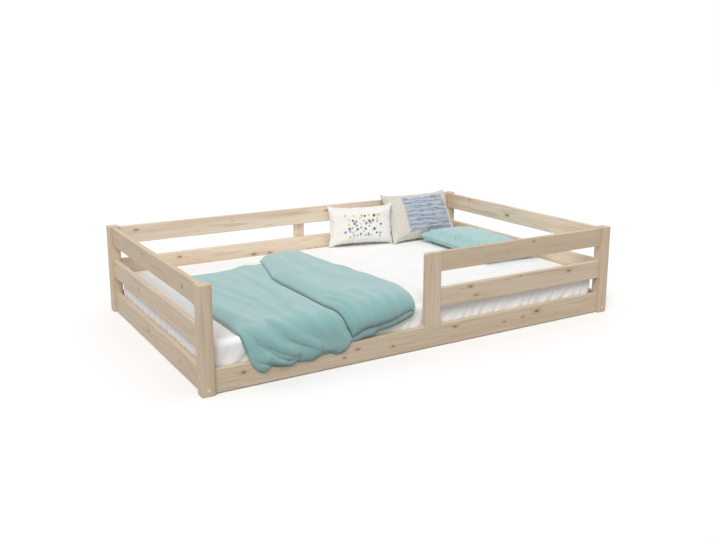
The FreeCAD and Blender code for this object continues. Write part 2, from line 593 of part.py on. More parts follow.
stile_back = inner_y + size("rail_thick") + size("stile_thick")
screw_group("stile_screws", size("stile_thick"),
            [Vector(side * size("stile_width") / 4, stile_back, number(STILE_SCREW_RISE[name]))
             for name in ALL_LEVELS for side in (-1, 1)], lambda spot: Vector(0, -1, 0))
ledger_face = inner_y - size("ledger_thick")
ledger_mid_height = number(SLAT_UNDERSIDE) - size("ledger_height") / 2
screw_group("ledger_screws", size("ledger_thick"),
            [Vector(share * number(LEDGER_LENGTH) / 12, sign * ledger_face, ledger_mid_height)
             for sign in (-1, 1) for share in LEDGER_SCREWS],
            lambda spot: Vector(0, math.copysign(1, spot.y), 0))
screw_group("slat_screws", size("slat_thick"),
            [Vector(x_sign * number(FIRST_SLAT), y_sign * number(LEDGER_MIDDLE), size("slat_top"))
             for x_sign in (-1, 1) for y_sign in (-1, 0, 1)], lambda spot: Vector(0, 0, -1))


# ---------------------------------------------------------------- mattress and fitted sheet

def make_soft_block(label, grow, base):
    """The mattress form, grown on all sides, with its underside at the given height."""
    body = new_body(label)
    section = new_sketch(body, "XY_Plane", "section")
    length = "(%s + 2 * %s)" % (MATTRESS_LENGTH, grow)
    width = "(%s + 2 * %s)" % (MATTRESS_WIDTH, grow)
    add_rectangle(section, "plan", "-%s / 2" % length, "-%s / 2" % width, length, width)
    pad(body, section, "block", "sizes.mattress_height + 2 * %s" % grow)
    round_edges(body, "corners", "sizes.mattress_corner + " + grow,
                lambda edge: runs_along(edge, ALONG_Z))
    round_edges(body, "edges", "sizes.mattress_edge + " + grow,
                lambda edge: edge.BoundBox.ZLength < 0.01)
    return place(body, "0", "0", base)


SHEET_OUTER = "(sizes.sheet_thick + sizes.rest_gap)"
MATTRESS_BASE = "(sizes.slat_top + 2 * sizes.rest_gap + sizes.sheet_thick)"
make_soft_block("mattress", "0", MATTRESS_BASE)
sheet_outer = make_soft_block("sheet_outer", SHEET_OUTER, "sizes.slat_top + sizes.rest_gap")
sheet_inner = make_soft_block("sheet_inner", "sizes.rest_gap", MATTRESS_BASE + " - sizes.rest_gap")
hem_opening = doc.addObject("Part::Box", "hem_opening")
hem_opening.setExpression("Length", MATTRESS_LENGTH + " - 2 * sizes.sheet_tuck")
hem_opening.setExpression("Width", MATTRESS_WIDTH + " - 2 * sizes.sheet_tuck")
hem_opening.setExpression("Height", "sizes.mattress_edge")
place(hem_opening, "-%s / 2 + sizes.sheet_tuck" % MATTRESS_LENGTH,
      "-%s / 2 + sizes.sheet_tuck" % MATTRESS_WIDTH, "sizes.slat_top")
sheet_hollow = doc.addObject("Part::Fuse", "sheet_hollow")
sheet_hollow.Base, sheet_hollow.Tool = sheet_inner, hem_opening
fitted_sheet = doc.addObject("Part::Cut", "fitted_sheet")
fitted_sheet.Base, fitted_sheet.Tool = sheet_outer, sheet_hollow
fitted_sheet.Label = "fitted_sheet"
doc.recompute()
sheet_top = number(MATTRESS_BASE + " + sizes.mattress_height + " + SHEET_OUTER)
sheet_front = -number("%s / 2 + %s" % (MATTRESS_WIDTH, SHEET_OUTER))


# ---------------------------------------------------------------- duvet

def arc_through(a, b, c):
    return Part.Arc(a, b, c).toShape()


def duvet_section(x, skew, loft, lift, shift, back):
    """A cut through the duvet across the bed: over the sheet, down its side and over the rail.

    skew: how far the cut's back end lies towards the head end; loft: thickness; lift: 0 where
    the hem hangs over the rail, 1 where it stays on top; shift: slides the folds along the cut.
    """
    gap = size("rest_gap")
    under = sheet_top + gap
    edge_radius = size("mattress_edge") + number(SHEET_OUTER) + gap
    side = sheet_front - gap
    rail_top = number(BOTTOM_RAIL_TOP) + gap
    rail_out = -inner_y - size("rail_thick") - gap
    hem_out = rail_out - size("duvet_hem_loft")
    hem = number(BOTTOM_RAIL_TOP) - size("duvet_drop") + lift * (size("duvet_drop") + 12)
    roll = max(rail_top, hem + 16)
    corner = size("rail_round") + gap
    span = back - sheet_front

    def at(y, z):
        return Vector(x + skew * (y - sheet_front) / span, y, z)

    slant = math.sqrt(0.5) * edge_radius
    under_points = [
        at(back - 10, under), at(side + edge_radius, under),
        at(side, under - edge_radius), at(side, roll + 8), at(side - 3, roll + 1),
        at(rail_out + corner, roll)]
    top = under + loft
    shoulder_y, shoulder_z = sheet_front + 34, under - 42 + 0.4 * loft
    edges = [Part.makeLine(under_points[0], under_points[1])]
    edges.append(arc_through(under_points[1],
                             at(side + edge_radius - slant, under - edge_radius + slant),
                             under_points[2]))
    edges += [Part.makeLine(a, b) for a, b in zip(under_points[2:-1], under_points[3:])]
    bite = corner * (1 - math.sqrt(0.5))
    edges.append(arc_through(under_points[-1], at(rail_out + bite, roll - bite),
                             at(rail_out, roll - corner)))
    edges.append(Part.makeLine(at(rail_out, roll - corner), at(rail_out, hem)))
    edges.append(arc_through(at(rail_out, hem), at((rail_out + hem_out) / 2, hem - 4),
                             at(hem_out, hem)))
    edges.append(Part.makeLine(at(hem_out, hem), at(hem_out, shoulder_z)))
    bend_y, bend_z = hem_out + 0.3 * (shoulder_y - hem_out), shoulder_z + 0.72 * (top - shoulder_z)
    edges.append(arc_through(at(hem_out, shoulder_z), at(bend_y, bend_z), at(shoulder_y, top)))
    waves = 6
    pitch = (back - 26 - shoulder_y) / waves
    knots = [shoulder_y] + [shoulder_y + (i + shift) * pitch for i in range(1, waves)] + [back - 26]
    for i in range(waves):
        crest = size("duvet_wave") * (1 if i % 2 == 0 else -1)
        edges.append(arc_through(at(knots[i], top), at((knots[i] + knots[i + 1]) / 2, top + crest),
                                 at(knots[i + 1], top)))
    edges.append(arc_through(at(back - 26, top), at(back, under + 0.45 * loft), under_points[0]))
    return Part.Wire(edges)


foot_edge = -inner_x + size("duvet_foot_edge")
fold_edge = size("upright_center") - size("upright_width") / 2 - size("duvet_guard_gap")
flap_edge = fold_edge - size("duvet_flap")
stride = (flap_edge - foot_edge) / 41
one_layer, two_layers = size("duvet_loft"), 2 * size("duvet_loft") + 4
duvet_back = -sheet_front - size("duvet_back_inset")
# stride is a forty-first of the single layer's length; each cut is its
# place along X, skew, thickness, lift of the hem, slide of the folds, back end of the cut
duvet_cuts = (
    (foot_edge, -16, 9, 0.35, -0.30, duvet_back - 60),
    (foot_edge + 16, -14, one_layer, 0.15, -0.24, duvet_back - 52),
    (foot_edge + 11 * stride, 10, one_layer + 4, -0.10, -0.05, duvet_back - 30),
    (foot_edge + 21 * stride, 40, one_layer, 0.05, 0.20, duvet_back - 20),
    (foot_edge + 31 * stride, 90, one_layer + 3, -0.05, 0.34, duvet_back),
    (flap_edge - 6 * stride, 126, one_layer, 0.30, 0.20, duvet_back),
    (flap_edge - 4.6 * stride, 128, two_layers - 6, 0.50, 0.12, duvet_back - 4),
    (flap_edge + 60, 90, two_layers, 0.90, -0.10, duvet_back + 20),
    (flap_edge + 160, 40, two_layers + 4, 0.98, -0.30, duvet_back + 24),
    (fold_edge - 90, -30, two_layers, 1.05, -0.10, duvet_back + 10),
    (fold_edge - 22, -52, two_layers - 10, 1.20, 0.10, duvet_back - 10),
    (fold_edge, -60, 18, 1.45, 0.16, duvet_back - 30),
)
duvet = feature("duvet", Part.makeLoft([duvet_section(*cut) for cut in duvet_cuts], True, True))


# ---------------------------------------------------------------- pillow and cushions

def cushion_outline(length, height, share, level):
    """Four drawn-in sides and four small round corners, scaled about the middle."""
    half_l, half_h = share * length / 2, share * height / 2
    pinch = size("cushion_pinch")
    round_off = 0.07 * min(half_l, half_h)
    sides = []
    for sx, sy, along in ((1, 1, 0), (-1, 1, 1), (-1, -1, 0), (1, -1, 1)):
        corner = Vector(sx * half_l, sy * half_h, level)
        if along == 0:
            start = corner - Vector(sx * round_off, 0, 0)
            middle = Vector(0, sy * half_h * (1 - 2 * pinch * length / height), level)
            end = Vector(-start.x, start.y, level)
            turn_mid = Vector(-corner.x + sx * 0.3 * round_off, corner.y - sy * 0.3 * round_off, level)
            turn_end = Vector(-corner.x, corner.y - sy * round_off, level)
        else:
            start = corner - Vector(0, sy * round_off, 0)
            middle = Vector(sx * half_l * (1 - 2 * pinch * height / length), 0, level)
            end = Vector(start.x, -start.y, level)
            turn_mid = Vector(corner.x - sx * 0.3 * round_off, -corner.y + sy * 0.3 * round_off, level)
            turn_end = Vector(corner.x - sx * round_off, -corner.y, level)
        sides += [arc_through(start, middle, end), arc_through(end, turn_mid, turn_end)]
    return Part.Wire(sides)


CROWN = ((-1, 0.28), (-0.9, 0.55), (-0.66, 0.79), (-0.34, 0.94), (0, 1),
         (0.34, 0.94), (0.66, 0.79), (0.9, 0.55), (1, 0.28))


def cushion_shape(length, height, loft, flat_side=1.0):
    """A stuffed cushion lying flat: crowned above and below, thinning out to its seam."""
    cuts = [cushion_outline(length, height, share, level * loft / 2 * (1 if level > 0 else flat_side))
            for level, share in CROWN]
    return Part.makeLoft(cuts, True, True)


def seated(shape, spot, turns):
    """Turns the shape, then rests its lowest point on the sheet and centres it at the spot."""
    for axis, angle in turns:
        shape.rotate(Vector(0, 0, 0), axis, angle)
    box = shape.BoundBox
    shape.translate(Vector(spot[0], spot[1], sheet_top + size("rest_gap") - box.ZMin))
    return shape


def lean_back(shape, gap):
    """Slides a cushion back until it stands the gap from the inner face of the back rail."""
    rail = doc.getObject("back_rail_top").Shape
    for _ in range(4):
        shape.translate(Vector(0, rail.distToShape(shape)[0] - gap, 0))
    return shape


head_face, back_face = inner_x, inner_y
pillow_x = head_face - size("pillow_head_inset") - size("pillow_width") / 2
pillow_y = back_face - size("pillow_back_inset") - size("pillow_length") / 2
flat_under = 0.45
pillow = cushion_shape(size("pillow_width"), size("pillow_length"),
                       2 * size("pillow_loft") / (1 + flat_under), flat_under)
feature("sleeping_pillow", seated(pillow, (pillow_x, pillow_y), ((ALONG_Z, -3),)))

large = cushion_shape(size("large_cushion_length"), size("large_cushion_height"),
                      size("large_cushion_loft"))
large = seated(large, (head_face - size("large_cushion_inset"), 0),
               ((ALONG_X, 90 - size("large_cushion_lean")),))
feature("large_cushion", lean_back(large, size("rest_gap")))

small = cushion_shape(size("small_cushion_length"), size("small_cushion_height"),
                      size("small_cushion_loft"))
small = seated(small, (head_face - size("small_cushion_inset"), 0),
               ((ALONG_X, 90 - size("small_cushion_lean")), (ALONG_Z, -size("small_cushion_turn"))))
small = lean_back(small, size("rest_gap"))
# it leans in front of the large cushion's end: moved towards the foot end until the two just clear
while large.distToShape(small)[0] < size("rest_gap"):
    small = lean_back(small.translated(Vector(-4, 0, 0)), size("rest_gap"))
feature("small_cushion", small)


# ---------------------------------------------------------------- checks and files

HELPERS = {"sheet_outer", "sheet_inner", "hem_opening", "sheet_hollow", "tape_front", "tape_back"}
doc.recompute()
for item in doc.Objects:
    if "Invalid" in item.State or "Error" in item.State:
        raise RuntimeError("%s did not build: %s" % (item.Label, item.State))

pieces = [item for item in doc.Objects
          if item.TypeId in ("PartDesign::Body", "Part::Feature", "Part::Compound", "Part::Cut")
          and item.Label not in HELPERS]
for item in pieces:
    shape = item.Shape
    if shape.isNull() or not shape.isValid() or not shape.Solids:
        raise RuntimeError("%s is not a sound solid" % item.Label)
    if min(solid.Volume for solid in shape.Solids) <= 0:
        raise RuntimeError("%s is inside out" % item.Label)

os.makedirs("parts", exist_ok=True)
for item in pieces:
    item.Shape.exportStep("parts/%s.step" % item.Label)
print("%d pieces, %d solids" % (len(pieces), sum(len(item.Shape.Solids) for item in pieces)))
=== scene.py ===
import functools
import math

import bpy
import numpy as np
from mathutils import Euler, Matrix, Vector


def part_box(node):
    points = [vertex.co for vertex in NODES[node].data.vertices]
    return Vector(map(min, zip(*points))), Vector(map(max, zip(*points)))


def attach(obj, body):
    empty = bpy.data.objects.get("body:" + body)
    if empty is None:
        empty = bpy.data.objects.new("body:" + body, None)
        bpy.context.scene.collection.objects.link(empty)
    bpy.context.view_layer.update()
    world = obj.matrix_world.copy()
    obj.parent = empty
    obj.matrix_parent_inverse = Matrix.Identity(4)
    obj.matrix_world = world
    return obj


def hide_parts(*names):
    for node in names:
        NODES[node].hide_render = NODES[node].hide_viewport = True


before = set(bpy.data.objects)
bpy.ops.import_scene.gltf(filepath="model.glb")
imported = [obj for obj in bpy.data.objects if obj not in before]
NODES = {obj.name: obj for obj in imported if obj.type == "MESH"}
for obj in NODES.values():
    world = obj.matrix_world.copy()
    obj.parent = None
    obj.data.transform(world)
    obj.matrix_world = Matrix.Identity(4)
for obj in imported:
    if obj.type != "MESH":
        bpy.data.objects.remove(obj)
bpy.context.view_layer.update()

# Looks of a toddler floor bed: clear-coated pine boards, a white jersey sheet gathered round its
# mattress, a folded cotton duvet, a flat pillow and two printed cushions. Metres, in the CAD frame.

MM = 0.001


def corners_of(name):
    """The lowest and highest corner of a CAD node's box, as arrays."""
    return (np.array(corner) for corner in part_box(name))


SHEET_LOW, SHEET_HIGH = corners_of("fitted_sheet")
SHEET_TOP = SHEET_HIGH[2]


def placed(name, data):
    """An object of the data, linked into the scene."""
    made = bpy.data.objects.new(name, data)
    bpy.context.scene.collection.objects.link(made)
    return made


# ---------------- materials

def colour(code):
    """sRGB hex to linear RGBA: below 0.04045 divide by 12.92, above it the 2.4 power curve."""
    channels = np.array([int(code[i:i + 2], 16) for i in (1, 3, 5)]) / 255
    curve = np.where(channels <= 0.04045, channels / 12.92, ((channels + 0.055) / 1.055) ** 2.4)
    return (*curve.tolist(), 1.0)


def join(socket, value):
    """Links a node's output to the socket, or sets the socket to a number or a hex colour."""
    if isinstance(value, bpy.types.NodeSocket):
        socket.id_data.links.new(value, socket)
    else:
        socket.default_value = colour(value) if isinstance(value, str) else value


# the main property of a kind of node, and its value where no word after the kind gives another
MAIN_PROPERTY = {"Attribute": ("attribute_name", ""), "Math": ("operation", "ADD"),
                 "MapRange": ("interpolation_type", "SMOOTHSTEP"), "Mix": ("data_type", "RGBA"),
                 "TexVoronoi": ("voronoi_dimensions", "2D"), "TexWave": ("bands_direction", "X"),
                 "VectorMath": ("operation", "MULTIPLY")}


def node(tree, kind, *values, out=None, **named):
    """Adds one shader node, fills its open sockets in order or by name, and gives its first open
    output or the named one. A word after the kind is its main property, as in "Math POWER"."""
    kind, _, word = kind.partition(" ")
    made = tree.nodes.new("ShaderNode" + kind)
    if kind in MAIN_PROPERTY:
        key, usual = MAIN_PROPERTY[kind]
        setattr(made, key, word or usual)
    for socket, value in zip([socket for socket in made.inputs if socket.enabled], values):
        join(socket, value)
    for key, value in named.items():
        join(made.inputs[key], value)
    return made.outputs[out] if out else [each for each in made.outputs if each.enabled][0]


def new_finish(name, **plain):
    """A material with a Principled shader, a call that adds a node to it, and a call that fills
    the shader's named sockets; plain numbers are set on them at once."""
    made = bpy.data.materials.new(name)
    made.use_nodes = True
    shader = made.node_tree.nodes["Principled BSDF"]

    def dress(**sockets):
        """Sets or links the shader's sockets, an underscore standing for a space."""
        for key, value in sockets.items():
            join(shader.inputs[key.replace("_", " ")], value)

    dress(**plain)
    return made, functools.partial(node, made.node_tree), dress


# which way the fibres run: the turn that brings them to the pattern's own X
ALONG = {"x": (0, 0, 0), "y": (0, 0, math.pi / 2), "z": (0, math.pi / 2, 0)}
RING_STEP = 6.5 * MM        # middle spacing of the late-wood lines
PITH_DEPTH = 0.12           # metres from the board's middle to the middle of the log
KNOT_STRETCH = 2.2          # how much longer a knot is along the fibres


def pine(name, along, place, light, dark, knots=()):
    """Planed pine under a matt clear coat: pale early wood, darker late-wood lines 4 to 9 mm apart
    that wander along the board, long pinkish and greyish streaks, pin knots, and brown knots,
    longer along the fibres, that push the lines aside. knots are (x, y, z, radius) in millimetres
    in the CAD frame; place shifts the pattern."""
    made, put, dress = new_finish(name, Base_Color=light, Roughness=0.55, IOR=1.5,
                                  Coat_Weight=0.05, Coat_Roughness=0.4)
    here = put("TexCoord", out="Object")
    grain = put("Mapping", here, Location=place, Rotation=ALONG[along])

    def stretched(along_scale, across_scale, detail=2.0, rough=0.5):
        """Noise drawn out along the fibres, by its number of cells per metre each way."""
        where = put("VectorMath MULTIPLY", grain, (along_scale, across_scale, across_scale))
        return put("TexNoise", where, 1.0, detail, rough)

    # knots are round in a space that is squeezed along the fibres
    squeeze = [1.0, 1.0, 1.0]
    squeeze["xyz".index(along)] = 1 / KNOT_STRETCH
    near_knot, core = 0.0, 0.0
    if knots:
        short = put("VectorMath MULTIPLY", here, squeeze)
        uneven = put("Math MULTIPLY_ADD", put("TexNoise", here, 130.0), 5 * MM, -2.5 * MM)
    for x, y, z, radius in knots:
        spot = tuple(value * share * MM for value, share in zip((x, y, z), squeeze))
        away = put("VectorMath DISTANCE", short, spot)
        near = put("MapRange", away, radius * 3.4 * MM, radius * 0.4 * MM)
        inner = put("MapRange", put("Math ADD", away, uneven), radius * 0.95 * MM,
                    radius * 0.35 * MM)
        near_knot, core = put("Math ADD", near_knot, near), put("Math ADD", core, inner)

    # the board is cut from a log: lines follow the distance from a pith well off the board
    _, flat, deep = put("SeparateXYZ", grain).node.outputs
    deep = put("Math ADD", deep, PITH_DEPTH)
    depth = put("Math SQRT", put("Math MULTIPLY_ADD", deep, deep, put("Math MULTIPLY", flat, flat)))
    wander = put("Math MULTIPLY", stretched(0.9, 7.0, 2.0, 0.55), 0.055)
    rings = put("Math ADD", put("Math ADD", depth, wander), put("Math MULTIPLY", near_knot, 6 * MM))
    late = put("Math POWER", put("Math FRACT", put("Math MULTIPLY", rings, 1 / RING_STEP)), 3.0)
    streaks = stretched(7.0, 330.0)
    share = put("Math ADD", put("Math MULTIPLY", late, 0.34),
                put("MapRange", streaks, 0.35, 0.75, 0.0, 0.22))
    tone = put("Mix", put("Math MINIMUM", share, 1.0), light, dark)
    # heartwood side pinkish, other bands grey, both drawn broad enough to show from afar, and
    # short brown flecks
    for cells, low, high, most, code in (((1.5, 24.0, 1.0), 0.46, 0.68, 0.42, "#CFB096"),
                                         ((3.1, 46.0), 0.5, 0.72, 0.5, "#B7A388"),
                                         ((26.0, 150.0, 1.0), 0.70, 0.80, 0.55, "#9C7A5B")):
        tone = put("Mix", put("MapRange", stretched(*cells), low, high, 0.0, most), tone, code)
    if knots:
        tone = put("Mix", put("MapRange", near_knot, 0.2, 1.0, 0.0, 0.5), tone, "#B48F6C")
        tone = put("Mix", put("Math MINIMUM", core, 0.85), tone, "#7C5A3F")
    relief = put("Math ADD", put("Math MULTIPLY", late, 0.5), streaks)
    dress(Base_Color=tone, Normal=put("Bump", Height=relief, Distance=0.12 * MM, Strength=0.5))
    return made


def give(names, finish):
    """Puts the finish on CAD nodes."""
    for name in names:
        mesh = NODES[name].data
        mesh.materials.clear()
        mesh.materials.append(finish)


# knots read from the picture, on the faces that it shows: x, y, z and radius in millimetres
KNOTS = {
    "front_rail_bottom": ((-871, -626, 63, 6), (-434, -626, 36, 4), (-372, -626, 61, 5),
                          (-201, -626, 42, 5), (123, -626, 74, 6), (598, -626, 68, 9),
                          (514, -626, 53, 4), (402, -626, 49, 4)),
    "guard_rail_mid": ((202, -626, 243, 6), (233, -626, 200, 5), (789, -626, 237, 7),
                       (490, -626, 253, 3)),
    "guard_rail_top": ((560, -626, 404, 4),),
    "back_rail_top": ((-905, 602, 395, 5), (160, 602, 392, 5), (640, 602, 360, 6)),
    "back_rail_mid": ((-691, 602, 232, 5), (-282, 602, 196, 6), (-190, 602, 194, 5)),
    "head_rail_top": ((1002, 67, 369, 7), (1002, 398, 408, 4)),
    "head_rail_mid": ((1002, -180, 226, 6),),
    "foot_rail_top": ((-1026, -420, 370, 6), (-1026, 90, 392, 4)),
    "foot_rail_mid": ((-1026, 180, 214, 5),),
    "foot_rail_bottom": ((-1026, 60, 55, 6), (-1026, -350, 48, 4)),
}
LONG_BOARDS = ("front_rail_bottom", "back_rail_bottom", "back_rail_mid", "back_rail_top",
               "guard_rail_mid", "guard_rail_top", "ledger_front", "ledger_back", "center_beam")
END_BOARDS = tuple(f"{end}_rail_{level}" for end in ("foot", "head")
                   for level in ("bottom", "mid", "top"))
UPRIGHTS = ("post_front_foot", "post_front_head", "post_back_head", "post_back_foot",
            "guard_upright", "back_stile")
SLATS = tuple(sorted(name for name in NODES if name.startswith("slat_") and name[5:].isdigit()))
SHADES = (("#D8C7AE", "#B69B7E"), ("#DBCAB2", "#BCA287"), ("#D3C1A8", "#B19679"))
# painted light: the back and head boards get this paler tone, standing for the light that the white
# mattress throws back onto them
PAINTED_BOUNCE_TONE = ("#EBDBC5", "#D0B499")
for along, boards in (("x", LONG_BOARDS), ("y", END_BOARDS), ("z", UPRIGHTS)):
    for index, board in enumerate(boards):
        shift = (0.37 * index, 0.011 * index - 0.02, 0.023 * index)
        pair = PAINTED_BOUNCE_TONE if board[:4] in ("back", "head") else SHADES[index % 3]
        give([board], pine("clear_coated_pine_" + board, along, shift, *pair,
                           KNOTS.get(board, ())))
for index, pair in enumerate(SHADES):
    give(SLATS[index::3], pine(f"sawn_pine_slat_{index}", "y", (0.5 * index, 0.05, 0.02), *pair))


# a wave texture of this scale draws one band to the metre
ONE_BAND = 0.314


def zinc_plated_steel():
    """Bright zinc over steel: metal of a cool grey with faint streaks from plating."""
    made, put, dress = new_finish("zinc_plated_steel", Metallic=1.0, Roughness=0.34)
    cloud = put("TexNoise", put("TexCoord", out="Object"), 900.0)
    dress(Base_Color=put("Mix", cloud, "#B9BCBE", "#D6D8DA"),
          Roughness=put("MapRange", cloud, 0.3, 0.7, 0.28, 0.42))
    return made


def moulded_cap():
    """Moulded polyethylene in a pale wood tone: soft satin with the mould's fine texture."""
    made, put, dress = new_finish("moulded_polyethylene_cap", Roughness=0.45, IOR=1.51)
    grain = put("TexNoise", put("TexCoord", out="Object"), 1600.0)
    dress(Base_Color=put("Mix", grain, "#E4D8C4", "#EADFCD"),
          Normal=put("Bump", Height=grain, Distance=0.05 * MM, Strength=0.4))
    return made


def woven_tape():
    """Woven polyester tape: ribs across it, 2 mm apart."""
    made, put, dress = new_finish("woven_polyester_tape", Roughness=0.8, IOR=1.46)
    ribs = put("TexWave X", put("TexCoord", out="Object"), ONE_BAND / (2 * MM), 1.0, out="Fac")
    dress(Base_Color=put("Mix", ribs, "#CFC9BA", "#E2DDD0"),
          Normal=put("Bump", Height=ribs, Distance=0.3 * MM, Strength=0.6))
    return made


give(("joint_bolts", "barrel_nuts", "stile_screws", "ledger_screws", "slat_screws"),
     zinc_plated_steel())
give(("bolt_caps",), moulded_cap())
give(("slat_tapes",), woven_tape())


# ---------------- cloth surfaces

def smooth(value, low, high):
    """0 below low, 1 above high, and the cubic 3t^2 - 2t^3 between."""
    t = np.clip((value - low) / (high - low), 0, 1)
    return t * t * (3 - 2 * t)


def read(table, at):
    """A table of pairs read at the given places: straight lines between them, softened by taking
    the mean of three readings 7 mm apart."""
    xs, ys = np.array(sorted(table), dtype=float).T
    return sum(np.interp(at + shift, xs, ys) for shift in (-7, 0, 7)) / 3


def quads(index, flip=False):
    """The four corner numbers of every cell of a grid of vertex numbers."""
    a, b, c, d = index[:-1, :-1], index[1:, :-1], index[1:, 1:], index[:-1, 1:]
    ring = (a, d, c, b) if flip else (a, b, c, d)
    return np.stack([corner.ravel() for corner in ring], axis=1)


def build(name, points, faces, finish, body, stands_for, uv=None, hollow=None):
    """A mesh object from arrays of points and quads, at the origin, riding on its CAD body. The
    last argument is how deep each point lies in a crease, from 0 to 1, read by a finish as painted
    shade."""
    mesh = bpy.data.meshes.new(name)
    mesh.vertices.add(len(points))
    mesh.vertices.foreach_set("co", points.astype(np.float32).ravel())
    mesh.loops.add(faces.size)
    mesh.loops.foreach_set("vertex_index", faces.astype(np.int32).ravel())
    mesh.polygons.add(len(faces))
    mesh.polygons.foreach_set("loop_start", np.arange(0, faces.size, 4, dtype=np.int32))
    mesh.update(calc_edges=True)
    mesh.shade_smooth()
    if uv is not None:
        layer = mesh.uv_layers.new(name="flat_cloth")
        layer.data.foreach_set("uv", uv.astype(np.float32).ravel())
    if hollow is not None:
        layer = mesh.attributes.new("hollow", "FLOAT", "POINT")
        layer.data.foreach_set("value", hollow.astype(np.float32))
    mesh.validate()
    mesh.materials.append(finish)
    piece = placed(name, mesh)
    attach(piece, body)
    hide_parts(*stands_for)
    return piece


def two_sided(nu, nv):
    """Vertex numbers of a closed bag made of two grids that share their border ring."""
    near = np.arange(nu * nv).reshape(nu, nv)
    far = near.copy()
    far[1:-1, 1:-1] = nu * nv + np.arange((nu - 2) * (nv - 2)).reshape(nu - 2, nv - 2)
    return near, far


def bag_list(near_side, far_side):
    """What both sides' grids hold, such as their points, as one list in two_sided's order."""
    return np.concatenate([near_side.reshape(-1, *near_side.shape[2:]),
                           far_side[1:-1, 1:-1].reshape(-1, *far_side.shape[2:])])


def bag_faces(near, far):
    """Both grids' cells, the far side's the other way round so that they face out too."""
    return np.concatenate([quads(near), quads(far, flip=True)])


# metres that the far side's flat cloth lies to the right of the near side's
FAR_CLOTH = 2.0


def bag_uv(u, v):
    """Each face corner's place on the flat cloth in metres, the near side's faces first."""
    def corners(flip):
        cells = quads(np.arange(u.size).reshape(u.shape), flip).ravel()
        return np.stack([u.ravel()[cells] + FAR_CLOTH * flip, v.ravel()[cells]], axis=1)
    return np.concatenate([corners(False), corners(True)])


def finer(grid):
    """Twice the grid's steps: old points stay and new ones come from the cubic through four."""
    for axis in (0, 1):
        rows = np.moveaxis(grid, axis, 0)
        first, last = 2 * rows[:1] - rows[1:2], 2 * rows[-1:] - rows[-2:-1]
        padded = np.concatenate([first, rows, last])
        middle = (9 * (padded[1:-2] + padded[2:-1]) - padded[:-3] - padded[3:]) / 16
        made = np.empty((2 * len(rows) - 1, *rows.shape[1:]))
        made[0::2], made[1::2] = rows, middle
        grid = np.moveaxis(made, 0, axis)
    return grid


def lengths_along(line):
    """The length along a line of points up to each of them."""
    return np.concatenate([[0], np.cumsum(np.linalg.norm(np.diff(line, axis=0), axis=1))])


LAST_FRAME = 20             # the simulation's, by when the bag has filled


def filled(near_side, far_side, cap, slack):
    """Blows the bag up from inside with Blender's cloth, its fabric larger than its form by the
    share slack, so that it creases at the seams. No point ends further than the cap from where it
    began."""
    near, far = two_sided(*near_side.shape[:2])
    start = bag_list(near_side, far_side)
    mesh = bpy.data.meshes.new("bag")
    mesh.from_pydata(start.tolist(), [], bag_faces(near, far).tolist())
    bag = placed("bag", mesh)
    cloth = bag.modifiers.new("cloth", "CLOTH")
    settings = cloth.settings
    settings.quality, settings.mass, settings.air_damping = 6, 0.15, 2
    settings.tension_stiffness = settings.compression_stiffness = 12
    settings.shear_stiffness, settings.bending_stiffness = 4, 0.25
    settings.use_pressure, settings.uniform_pressure_force = True, 4
    settings.shrink_min, settings.effector_weights.gravity = -slack, 0
    cloth.collision_settings.use_collision = False
    cloth.point_cache.frame_start, cloth.point_cache.frame_end = 1, LAST_FRAME
    scene = bpy.context.scene
    for number in range(1, LAST_FRAME + 1):
        scene.frame_set(number)
    shown = bag.evaluated_get(bpy.context.evaluated_depsgraph_get()).data
    ended = np.empty(len(start) * 3)
    shown.vertices.foreach_get("co", ended)
    bpy.data.objects.remove(bag)
    scene.frame_set(1)
    moved = ended.reshape(-1, 3) - start
    far_off = np.linalg.norm(moved, axis=1, keepdims=True)
    moved *= cap * np.tanh(far_off / cap) / np.maximum(far_off, 1e-9)
    ended = start + moved
    return ended[near], ended[far]


def polyline_distance(x, y, line):
    """Distance to a line of points, the side that the place is on, and how far along it lies."""
    line = np.array(line, dtype=float)
    lengths = np.linalg.norm(np.diff(line, axis=0), axis=1)
    starts = np.concatenate([[0], np.cumsum(lengths)])
    best = np.full(x.shape, 1e9)
    side, along = np.zeros(x.shape), np.zeros(x.shape)
    for (ax, ay), (bx, by), length, start in zip(line[:-1], line[1:], lengths, starts):
        tx, ty = (bx - ax) / length, (by - ay) / length
        reach = np.clip((x - ax) * tx + (y - ay) * ty, 0, length)
        dx, dy = x - ax - reach * tx, y - ay - reach * ty
        gap = np.hypot(dx, dy)
        nearer = gap < best
        best = np.where(nearer, gap, best)
        side = np.where(nearer, np.sign(tx * dy - ty * dx), side)
        along = np.where(nearer, (start + reach) / starts[-1], along)
    return best, side, along


def fold(x, y, line, height, wide, steep):
    """A ridge along a line: exp(-(d / wide)^2) across it, wide on one side of the line and
    wide/steep on the other (on its right, or on its left where steep is below 0), dying away over
    a quarter at each end."""
    gap, side, along = polyline_distance(x, y, line)
    reach = np.where(side * steep >= 0, wide, wide / abs(steep))
    fade = smooth(along, 0, 0.25) * smooth(1 - along, 0, 0.25)
    return height * fade * np.exp(-(gap / reach) ** 2)


def creases(x, y, count, length, wide, height, heading, spread, seed, low, high):
    """Many small folds: each is a bent line from a random middle, its heading near the given one,
    with a narrow bell curve across it that tapers to both ends."""
    dice = np.random.default_rng(seed)
    total = np.zeros(x.shape)
    for _ in range(count):
        mx, my = dice.uniform(low[0], high[0]), dice.uniform(low[1], high[1])
        turn = heading(mx, my) + dice.normal(0, spread)
        half = dice.uniform(*length) / 2
        bend = dice.normal(0, 0.12) / half
        breadth, rise = dice.uniform(*wide), dice.uniform(*height) * dice.choice((1, 1, -0.8))
        along = (x - mx) * math.cos(turn) + (y - my) * math.sin(turn)
        across = (y - my) * math.cos(turn) - (x - mx) * math.sin(turn) - bend * along ** 2
        total += rise * np.exp(-(along / half) ** 2 * 2 - (across / breadth) ** 2)
    return total


